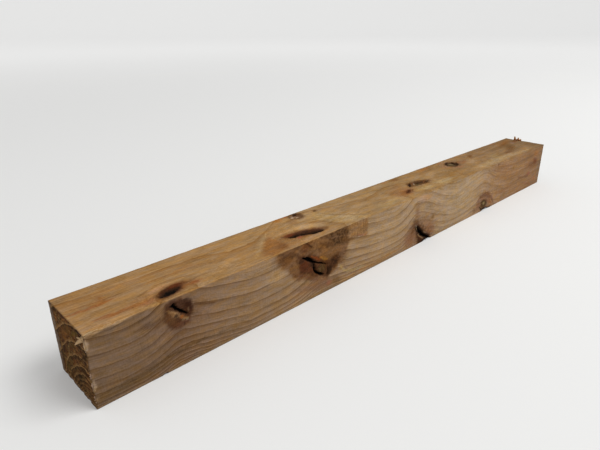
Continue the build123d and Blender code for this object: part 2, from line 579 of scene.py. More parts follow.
# %% Bites out of the lower front edge
def bite(points, sunk, centre, half_long, back, high, seed):
    """Carry the strip beside the lower front edge onto a quarter of an oval hollow.

    At each station the hollow's section is a quarter ellipse, back deep and high tall, times
    the square root that an ellipse has along its length. The distance from the edge, counted
    up the front and back along the underside, becomes the angle round that quarter.
    """
    x, y, z = points[..., 0], points[..., 1], points[..., 2]
    ragged = 1 + 0.14 * cloud(x[:, :1] * 0.8, seed, seed)
    size = np.sqrt(np.clip(1 - ((x[:, :1] - centre) / half_long) ** 2, 0, 1)) * ragged
    up_front = np.where(loop_y < 1.0, loop_z, 0.0)
    along_under = np.where(loop_z < 1.0, loop_y, 0.0)
    near_edge = (loop_y < 1.0) | (loop_z < 1.0)
    distance = (up_front - along_under)[None, :]
    share = (distance / np.maximum(size, 1e-4) + back) / (back + high)
    inside = near_edge[None, :] & (share > 0) & (share < 1) & (size > 0.05)
    angle = share * math.pi / 2
    new_y, new_z = back * size * np.cos(angle), high * size * np.sin(angle)
    points[..., 1] = np.where(inside, np.maximum(new_y, y), y)
    points[..., 2] = np.where(inside, np.maximum(new_z, z), z)
    # The bite is marked 3 mm deep in sunk, so the shader paints it near black: painted shade under the broken
    # edge.
    sunk[...] = np.where(inside, np.maximum(sunk, 3.0 * smooth(0.0, 0.5, size)), sunk)


bite(surface, hollow, centre=295.5, half_long=6.0, back=3.2, high=1.5, seed=41)
bite(surface, hollow, centre=400.0, half_long=7.0, back=3.0, high=1.7, seed=42)
bite(surface, hollow, centre=39.0, half_long=1.7, back=0.9, high=0.9, seed=43)


# %% Torn corner at the near end, and the ragged saw cuts
TEAR_RUN, TEAR_DROP, TEAR_BACK = 28.0, 1.7, 0.8
TOOTH_MIN = 0.05
NEAR_TEETH = {"front": 0.45, "top": 0.10, "back": 0.14, "under": 0.50}
FAR_TEETH = {"front": 0.16, "top": 0.14, "back": 0.14, "under": 0.25}


def tear(points):
    """Press the near part of the top front edge below a plane that cuts off the corner.

    The plane meets the top face TEAR_BACK in from the edge, the front face TEAR_DROP down,
    and the edge itself TEAR_RUN along. Where a point lies outside, it is moved back along
    the plane's own normal in the section.
    """
    x, y, z = points[..., 0], points[..., 1], points[..., 2]
    splinters = 0.25 * cloud(x / 1.1, z / 3, 51) + 0.15 * cloud(x / 4, z, 52)
    left = np.clip(1 - x / TEAR_RUN + splinters * smooth(0, 6, x), 0, 1.2)
    past = left - y / TEAR_BACK - (HEIGHT - z) / TEAR_DROP
    near_corner = (y < 3) & (z > HEIGHT - 4)
    push = np.where(near_corner, np.clip(past, 0, None), 0)
    steep = 1 / TEAR_BACK ** 2 + 1 / TEAR_DROP ** 2
    points[..., 1] = y + push / TEAR_BACK / steep
    points[..., 2] = z - push / TEAR_DROP / steep


def ragged_ends(points):
    """Draw both rims in unevenly, so that torn fibres stand out past the sawn face.

    The draw at a place on the rim is a smooth step of two soft random fields, one with lumps
    three millimetres wide and one with teeth a millimetre wide, which leaves runs of whole
    edge between the notches. The saw broke out of the wood at the front and below, so the
    notches are deepest there.
    """
    y, z = points[:1, :, 1], points[:1, :, 2]
    for sign, end, teeth, seed in ((1, 0.0, NEAR_TEETH, 61), (-1, LENGTH, FAR_TEETH, 62)):
        away = np.abs(LINE - end)
        most = sum(FACING[face][None, :] * depth for face, depth in teeth.items())
        wave = 0.65 * cloud(y / 3.1, z / 3.1, seed) + 0.45 * cloud(y / 1.0, z / 1.0, seed + 5)
        draw = TOOTH_MIN + (most - TOOTH_MIN) * smooth(-0.25, 0.55, wave)
        points[..., 0] += sign * draw * (1 - smooth(0.0, 3.0, away))


tear(surface)
ragged_ends(surface)

# %% End faces
CAP_RINGS = 26
SAWN_BACK = 1.0


def end_cap(rim, inward, end, seed):
    """Loops that shrink from the rim to one point, on a sawn face a little inside the rim.

    The face lies SAWN_BACK inside the end. The saw's ridges cross it a little out of level,
    2.6 mm apart, and two soft random fields roughen it. The rim's teeth fade out by the
    third loop, so that they stand round the face as a fringe.
    """
    share = np.linspace(1, 0, CAP_RINGS + 1)[1:]
    share = np.concatenate(([0.992, 0.972], share))[:, None, None]
    middle = rim.mean(0)
    rings = middle + (rim - middle)[None] * share
    y, z = rings[..., 1], rings[..., 2]
    ridges = 0.08 * np.sin((z + 0.18 * y) * 2 * math.pi / 2.6)
    torn = 0.22 * cloud(y / 2.2, z / 0.9, seed) + 0.14 * cloud(y / 0.9, z / 0.9, seed + 3)
    inside = smooth(0.0, 0.04, 1 - share[:, 0])
    rings[..., 0] = rings[..., 0] * (1 - inside) + (end + inward * SAWN_BACK + ridges + torn) * inside
    return rings[:-1], rings[-1, :1]


near_rings, near_middle = end_cap(surface[0], 1, 0.0, 71)
far_rings, far_middle = end_cap(surface[-1], -1, LENGTH, 72)
print("cap rings", near_rings.shape[0])

# %% [markdown]
# ## Stains and painted shade
#
# Resin, bark and the heart of a branch colour the wood round a knot, and the tone of the wood
# changes from place to place. A few near-black marks along the cracks, in the pockets and
# along the broken foot of the front, and a dark line under the torn top edge, are painted
# shade. Each stain is an oval, a stroke or a patch with a soft rim, given in the order in which
# it is laid on. They are worked out at the mesh's points and kept as two attributes: how much
# of the bare wood they cover, and their colour times that.


# %% One stain as a small record, and how much it covers
def oval(centre, radii, lean, soft, seen, strength):
    return {"centre": centre, "radii": radii, "lean": lean, "soft": soft, "seen": seen,
            "strength": strength}


def stroke(course, width, seen, strength):
    return {"course": course, "width": width, "seen": seen, "strength": strength}


def patch(outline, soft, seen, strength, flecks=0.0):
    return {"outline": outline, "soft": soft, "seen": seen, "strength": strength, "flecks": flecks}


def tint(red, green, blue, lit=1.0):
    """A colour given as seen, from 0 to 255, made linear and freed of how well its face is lit."""
    seen = np.array([red, green, blue]) / 255.0
    linear = np.where(seen <= 0.04045, seen / 12.92, ((seen + 0.055) / 1.055) ** 2.4)
    return tuple(float(v) for v in np.clip(linear / lit, 0, 0.9))


def coverage(stain, a, b, seed):
    """How much of each place a stain hides.

    An oval is a blob. A stroke fades over its width and thins towards its ends. A patch
    fades over its softness, and with flecks it shows only on the peaks of a soft random
    field with lumps of that size.
    """
    if "course" in stain:
        wander = 0.25 * stain["width"] * cloud(a * 0.6, b * 0.6, seed)
        gap, passed = near_course(a, b + wander, stain["course"])
        half = stain["width"] / 2 * (0.35 + 0.65 * np.sin(math.pi * np.clip(passed, 0, 1)))
        return stain["strength"] * (1 - smooth(0.35, 1.25, gap / half))
    if "outline" in stain:
        soft = stain["soft"]
        depth = within(a, b, stain["outline"]) + 0.7 * soft * cloud(a / 2.2, b / 1.7, seed)
        amount = stain["strength"] * smooth(-soft, soft, depth)
        if stain["flecks"]:
            lump = stain["flecks"]
            amount = amount * smooth(-0.05, 0.35, cloud(a / lump + b / lump * 0.4, b / lump * 1.2, seed + 1))
        return amount
    return stain["strength"] * blob(a, b, stain["centre"], stain["radii"], stain["lean"], stain["soft"], seed)


def lay_on(stains, a, b, lit, seed):
    """Lay stains over each other: each one hides its share of what is under it."""
    shape = np.broadcast(a, b).shape
    colour, cover = np.zeros(shape + (3,)), np.zeros(shape)
    for number, stain in enumerate(stains):
        amount = coverage(stain, a, b, seed + 3 * number)
        colour = colour * (1 - amount[..., None]) + np.array(tint(*stain["seen"], lit)) * amount[..., None]
        cover = cover + amount - cover * amount
    return colour, cover


# %% Stains and painted shade of the front face, at (x, z)
FRONT_STAINS_AND_SHADE = [
    # Tone of the wood between the knots, and pale crushed fibres along the near end.
    patch([(-1, 35), (1.2, 35.6), (1.8, 38), (1.2, 41), (-1, 42)], 0.6, (160, 136, 110), 0.85),
    patch([(-1, 19), (1.3, 19.4), (1.5, 21.4), (-1, 22)], 0.5, (150, 124, 104), 0.75),
    patch([(-1, 11), (1.6, 11.6), (2.2, 15), (1.0, 17.6), (-1, 18)], 0.6, (158, 134, 108), 0.8),
    patch([(-1, 4.8), (1.4, 5.2), (1.6, 7.2), (-1, 8)], 0.5, (156, 130, 104), 0.75),
    stroke([(0, 43.4), (9, 43.9), (17, 43.6), (28, 44.8)], 1.9, (156, 128, 96), 0.8),
    # This dark line under the pale torn band is a painted shadow.
    stroke([(2, 41.6), (9, 42.6), (15, 42.2), (24, 43.6)], 0.9, (80, 60, 44), 0.7),
    oval((20, 20), (26, 13), 0, 0.9, (112, 90, 70), 0.45),
    oval((14, 6), (40, 3.5), 0, 0.8, (92, 72, 48), 0.55),
    stroke([(0, 7.6), (25, 8), (45, 10.5), (60, 11), (80, 8.5)], 3.0, (84, 62, 38), 0.65),
    stroke([(0, 1), (90, 1), (180, 1.2), (268, 1.2)], 2.2, (128, 106, 76), 0.5),
    oval((104, 41), (16, 4), -8, 0.8, (148, 118, 84), 0.5),
    oval((122, 29.5), (10, 5.5), 0, 0.8, (160, 130, 94), 0.7),
    oval((100, 12), (30, 6), 2, 0.9, (134, 106, 74), 0.4),
    oval((65, 30), (12, 7), -15, 0.9, (112, 84, 62), 0.4),
    # First knot: a dark ring, golden brown inside, a pale ridge across it and light specks.
    oval((51.5, 33), (16, 14), 0, 0.85, (96, 70, 50), 0.6),
    stroke([(28, 35), (37, 34), (44, 36)], 6.0, (84, 60, 42), 0.5),
    stroke([(58, 35.5), (66, 34.5), (76, 30.5)], 3.2, (84, 58, 38), 0.6),
    patch([(42, 38), (42.6, 31.5), (45.6, 26.8), (51, 24.8), (57.4, 26.6), (60, 33), (58.6, 39),
           (54, 42.8), (47, 43.6), (43.4, 41.6)], 1.5, (68, 42, 27), 0.95),
    oval((46.6, 33.4), (3.8, 5.4), 15, 0.6, (90, 60, 35), 0.8),
    oval((57.2, 36.8), (2.6, 5.4), 10, 0.6, (50, 27, 16), 0.85),
    oval((52.4, 27.0), (4.8, 2.3), 0, 0.6, (92, 60, 42), 0.7),
    stroke([(51.4, 24.6), (51.6, 27.6)], 0.9, (58, 38, 26), 0.6),
    stroke([(54.2, 24.8), (53.6, 27.6)], 0.9, (58, 38, 26), 0.6),
    stroke([(44.6, 38.0), (48, 34.6), (52, 31.6), (56.0, 28.6)], 3.0, (124, 90, 56), 0.9),
    stroke([(46.2, 37.9), (48.8, 35.6), (51.2, 33.8)], 1.3, (152, 116, 76), 0.7),
    oval((49.3, 33.3), (1.3, 1.2), 0, 0.5, (50, 34, 24), 0.85),
    oval((52.7, 31.4), (1.2, 1.0), 0, 0.5, (138, 78, 34), 0.8),
    oval((53.4, 29.2), (0.9, 0.8), 0, 0.5, (118, 98, 74), 0.7),
    oval((55.8, 28.8), (1.0, 0.8), 0, 0.5, (128, 110, 86), 0.75),
    stroke([(57.3, 35.8), (57.6, 31.6)], 0.9, (116, 92, 68), 0.6),
    # Torn grain round the second knot, with a hard edge where the saw ran clean again.
    patch(TORN_OUTLINE, 1.4, (106, 73, 43), 0.9),
    patch([(190, 46), (190.5, 34.6), (196, 33.6), (203, 32.8), (211.6, 30.6), (211.6, 46)], 0.9,
          (141, 107, 71), 0.85),
    stroke([(200, 34.2), (206, 32.6), (211.6, 31.0)], 1.4, (142, 92, 66), 0.7),
    oval((131, 39.5), (10, 6.5), 20, 0.6, (97, 65, 38), 0.8),
    oval((140, 23), (7, 4), -35, 0.8, (100, 68, 44), 0.6),
    oval((124.5, 42), (4, 4), 0, 0.7, (120, 86, 56), 0.5),
    oval((165, 38), (14, 5.5), -30, 0.6, (118, 82, 46), 0.75),
    oval((147.5, 41), (5, 4.5), 10, 0.6, (92, 55, 31), 0.75),
    oval((181, 39.5), (11, 7), -20, 0.7, (94, 67, 42), 0.75),
    patch([(164, 46), (187, 46), (190, 40), (185, 32), (172, 35)], 3.2, (66, 44, 24), 0.9, 1.3),
    patch([(140, 46), (168, 46), (176, 33), (160, 34), (146, 40)], 2.4, (78, 49, 27), 0.6, 2.4),
    patch([(121, 46), (140, 46), (146, 38), (138, 28), (126, 36)], 2.4, (72, 46, 26), 0.6, 2.6),
    oval((185, 24), (5.5, 8), 0, 0.7, (110, 79, 54), 0.7),
    # The near-black line along the fine crack is painted shade in it.
    stroke([(146, 46), (148, 44.6), (150.5, 42.4), (154.5, 38.8)], 1.5, (58, 33, 20), 0.85),
    # Second knot: dark brown round the cracks, red beside them, an olive island between them.
    patch([(140.4, 34), (141.8, 27), (144, 21.5), (148.5, 22.2), (153, 18.5), (157.5, 16.2),
           (164, 13.4), (169.3, 10.8), (172, 15), (177.3, 16.8), (182.2, 22.4), (180, 26),
           (173, 24.8), (168.3, 26), (163, 28.6), (157.5, 32.2), (151, 35.6), (145.4, 37.2),
           (141, 37)], 1.7, (74, 45, 25), 0.92),
    oval((146.8, 28.0), (5.4, 5.2), -30, 0.6, (78, 40, 22), 0.8),
    oval((151.5, 23.8), (5.2, 2.6), -35, 0.6, (84, 47, 28), 0.75),
    oval((144.3, 33), (3.4, 3), 0, 0.6, (56, 33, 20), 0.8),
    # The near-black oval where the cracks meet is painted shade.
    oval((154.3, 27.2), (2.4, 3.6), 20, 0.6, (42, 26, 16), 0.85),
    oval((175.8, 21.4), (5.6, 4.2), -20, 0.6, (74, 46, 25), 0.85),
    oval((171.6, 16.4), (2.4, 4.4), -15, 0.6, (44, 27, 15), 0.85),
    # The near-black stroke along the short upright crack is painted shade in it.
    stroke([(169.4, 19.6), (169.8, 15.6), (168.8, 11.6)], 3.4, (38, 23, 13), 0.65),
    oval((177.6, 20.4), (2.8, 1.8), -40, 0.6, (48, 28, 15), 0.7),
    patch([(175, 18), (182, 22), (180, 25.4), (172, 24)], 1.2, (42, 26, 15), 0.8, 1.3),
    oval((163.2, 20.6), (4.4, 3.6), -20, 0.4, (74, 53, 30), 0.92),
    stroke([(160.6, 22.4), (162.2, 18.4)], 1.3, (104, 80, 48), 0.7),
    stroke([(164.0, 22.0), (165.8, 18.0)], 1.3, (100, 76, 46), 0.6),
    stroke([(153.0, 32.9), (157.5, 30.4), (161.5, 27.8)], 2.3, (120, 60, 24), 0.85),
    stroke([(161.5, 29.6), (165.5, 27.6), (169.5, 25.8)], 3.0, (146, 100, 44), 0.85),
    stroke([(139, 24.4), (146, 20.8), (154, 15.4), (163, 11.2), (170, 9.6)], 3.0, (98, 64, 42), 0.7),
    oval((160, 9.0), (18, 5.5), -10, 0.8, (112, 80, 56), 0.75),
    oval((170.5, 6.5), (3.6, 2.6), 0, 0.7, (128, 78, 58), 0.6),
    oval((178.5, 6.0), (6, 4), -30, 0.7, (104, 76, 46), 0.7),
    oval((145, 10), (14, 5), -6, 0.9, (128, 94, 66), 0.5),
    stroke([(181.5, 17.5), (184, 13), (188, 9.4), (196, 7), (210, 5.5)], 2.6, (152, 130, 88), 0.65),
    stroke([(186, 17), (188, 11.6), (192, 8)], 1.6, (104, 80, 52), 0.5),
    # Clean wood after the second knot.
    oval((236, 25), (26, 21), 0, 0.8, (158, 131, 98), 0.45),
    stroke([(186, 3.5), (215, 3.2), (250, 4.5), (262, 3.5)], 3.0, (150, 110, 66), 0.5),
    # Third knot: pinkish brown round a black hole with a pale ridge in it.
    oval((284, 12), (26, 15), 8, 0.85, (126, 92, 66), 0.8),
    oval((269, 10), (9, 9), 0, 0.8, (112, 76, 52), 0.7),
    oval((300, 9), (9, 7), -40, 0.8, (120, 82, 56), 0.7),
    oval((278, 30), (4.6, 10), 4, 0.9, (120, 88, 62), 0.65),
    stroke([(272, 38.8), (277, 38.2), (284, 36.6)], 2.0, (118, 88, 58), 0.5),
    patch([(269.5, 21), (274.5, 24.5), (280.5, 22), (287, 16.5), (294, 11), (300.5, 6.5), (304, -1),
           (279, -1), (279, 6), (275, 12), (270, 15.5)], 3.0, (88, 59, 38), 0.85),
    patch([(275.6, 18), (280.2, 18.4), (286, 13), (291, 9.2), (297, 6), (301.5, -1), (282, -1),
           (280.6, 6), (278.6, 11)], 1.6, (50, 31, 18), 0.85),
    stroke([(281.4, 7.0), (284.6, 4.2), (287.4, 0.8)], 3.2, (62, 32, 16), 0.85),
    # The three near-black strokes are painted shade in the hole and under the broken foot.
    stroke([(278.8, 17.6), (281.6, 13.6), (285.4, 9.9), (290, 6.6)], 6.0, (26, 15, 8), 0.9),
    stroke([(287, 6.6), (291.5, 5.0), (296, 2.6), (301, 0.2)], 5.0, (24, 15, 8), 0.9),
    stroke([(285, 1.0), (292, 1.2), (301, 0.8)], 3.0, (26, 17, 10), 0.85),
    stroke([(276.6, 19.4), (278.2, 16.8), (279.4, 13.8)], 1.8, (128, 108, 84), 0.9),
    stroke([(280.4, 10.0), (284.0, 7.0), (289.6, 3.4)], 1.7, (122, 96, 70), 0.9),
    stroke([(288.0, 10.4), (291.0, 8.6), (294.4, 6.6)], 1.5, (116, 92, 70), 0.8),
    oval((302.5, 20), (3.0, 2.2), -20, 0.8, (112, 84, 54), 0.75),
    oval((309, 30), (4, 3), -20, 0.8, (136, 110, 80), 0.5),
    oval((288, 41), (12, 4), -10, 0.8, (168, 126, 94), 0.45),
    oval((352, 24), (34, 20), -8, 0.9, (160, 136, 105), 0.6),
    oval((372, 38), (26, 8), 0, 0.9, (160, 136, 106), 0.5),
    # Fourth knot: a pink ring about a brown one, olive within, and its foot broken away.
    oval((398, 8), (20, 12), -8, 0.8, (124, 90, 66), 0.75),
    stroke([(381, 12), (386, 15.6), (394, 17), (402, 15.4), (410, 11.0), (416, 4.5)], 6.5,
           (106, 73, 52), 0.85),
    oval((384, 8), (4.5, 5), 0, 0.7, (112, 76, 60), 0.6),
    stroke([(384.5, 13.6), (389.5, 13.6), (395, 12.8), (401, 11)], 1.7, (138, 104, 84), 0.85),
    oval((395.8, 7.2), (7.6, 5.6), -16, 0.4, (70, 50, 29), 0.92),
    oval((395.6, 8.0), (2.6, 2.2), -20, 0.6, (118, 100, 66), 0.95),
    # The near-black stroke along the foot is painted shade under its broken edge.
    stroke([(387, 5.6), (391, 3.2), (397, 1.6), (405, 1.0), (413, 0.8)], 3.8, (26, 16, 9), 0.9),
    oval((403.4, 4.6), (2.4, 1.4), -20, 0.6, (112, 92, 70), 0.7),
    stroke([(400.5, 9.6), (407, 7.0), (413.5, 4.2)], 2.6, (116, 76, 50), 0.8),
    oval((378, 5), (5, 3.4), -20, 0.7, (104, 74, 46), 0.6),
    # Orange wood towards the far end, with a few reddish patches.
    oval((417.8, 43), (2.6, 2.0), 0, 0.8, (96, 70, 44), 0.8),
    oval((432, 38), (26, 6), -14, 0.9, (142, 104, 74), 0.5),
    stroke([(404, 41), (418, 36), (436, 31), (450, 29)], 2.2, (126, 90, 62), 0.55),
    oval((498, 27), (16, 5.5), -10, 0.9, (114, 80, 56), 0.75),
    oval((508, 29.5), (7.5, 4.0), -25, 0.7, (104, 64, 42), 0.9),
    oval((508, 37), (7, 3), 0, 0.8, (148, 98, 52), 0.6),
    oval((440, 27), (30, 7), -10, 0.9, (140, 102, 66), 0.5),
    stroke([(416, 14), (436, 12), (456, 13)], 5.0, (126, 88, 58), 0.5),
    stroke([(446, 33.5), (462, 31.5), (480, 29.5)], 2.6, (148, 112, 66), 0.55),
    oval((506, 39), (8, 3), -10, 0.8, (144, 98, 54), 0.6),
    stroke([(468, 18), (482, 16.5), (496, 15)], 4.4, (106, 76, 54), 0.75),
    oval((495, 17.5), (4, 2.8), 0, 0.7, (122, 72, 56), 0.75),
    stroke([(484, 9), (496, 5.5), (506, 3)], 2.4, (120, 78, 56), 0.6),
    oval((512, 8.5), (8, 4), 0, 0.8, (142, 96, 58), 0.6),
    oval((520, 22), (5, 22), 0, 0.9, (112, 92, 72), 0.7),
]

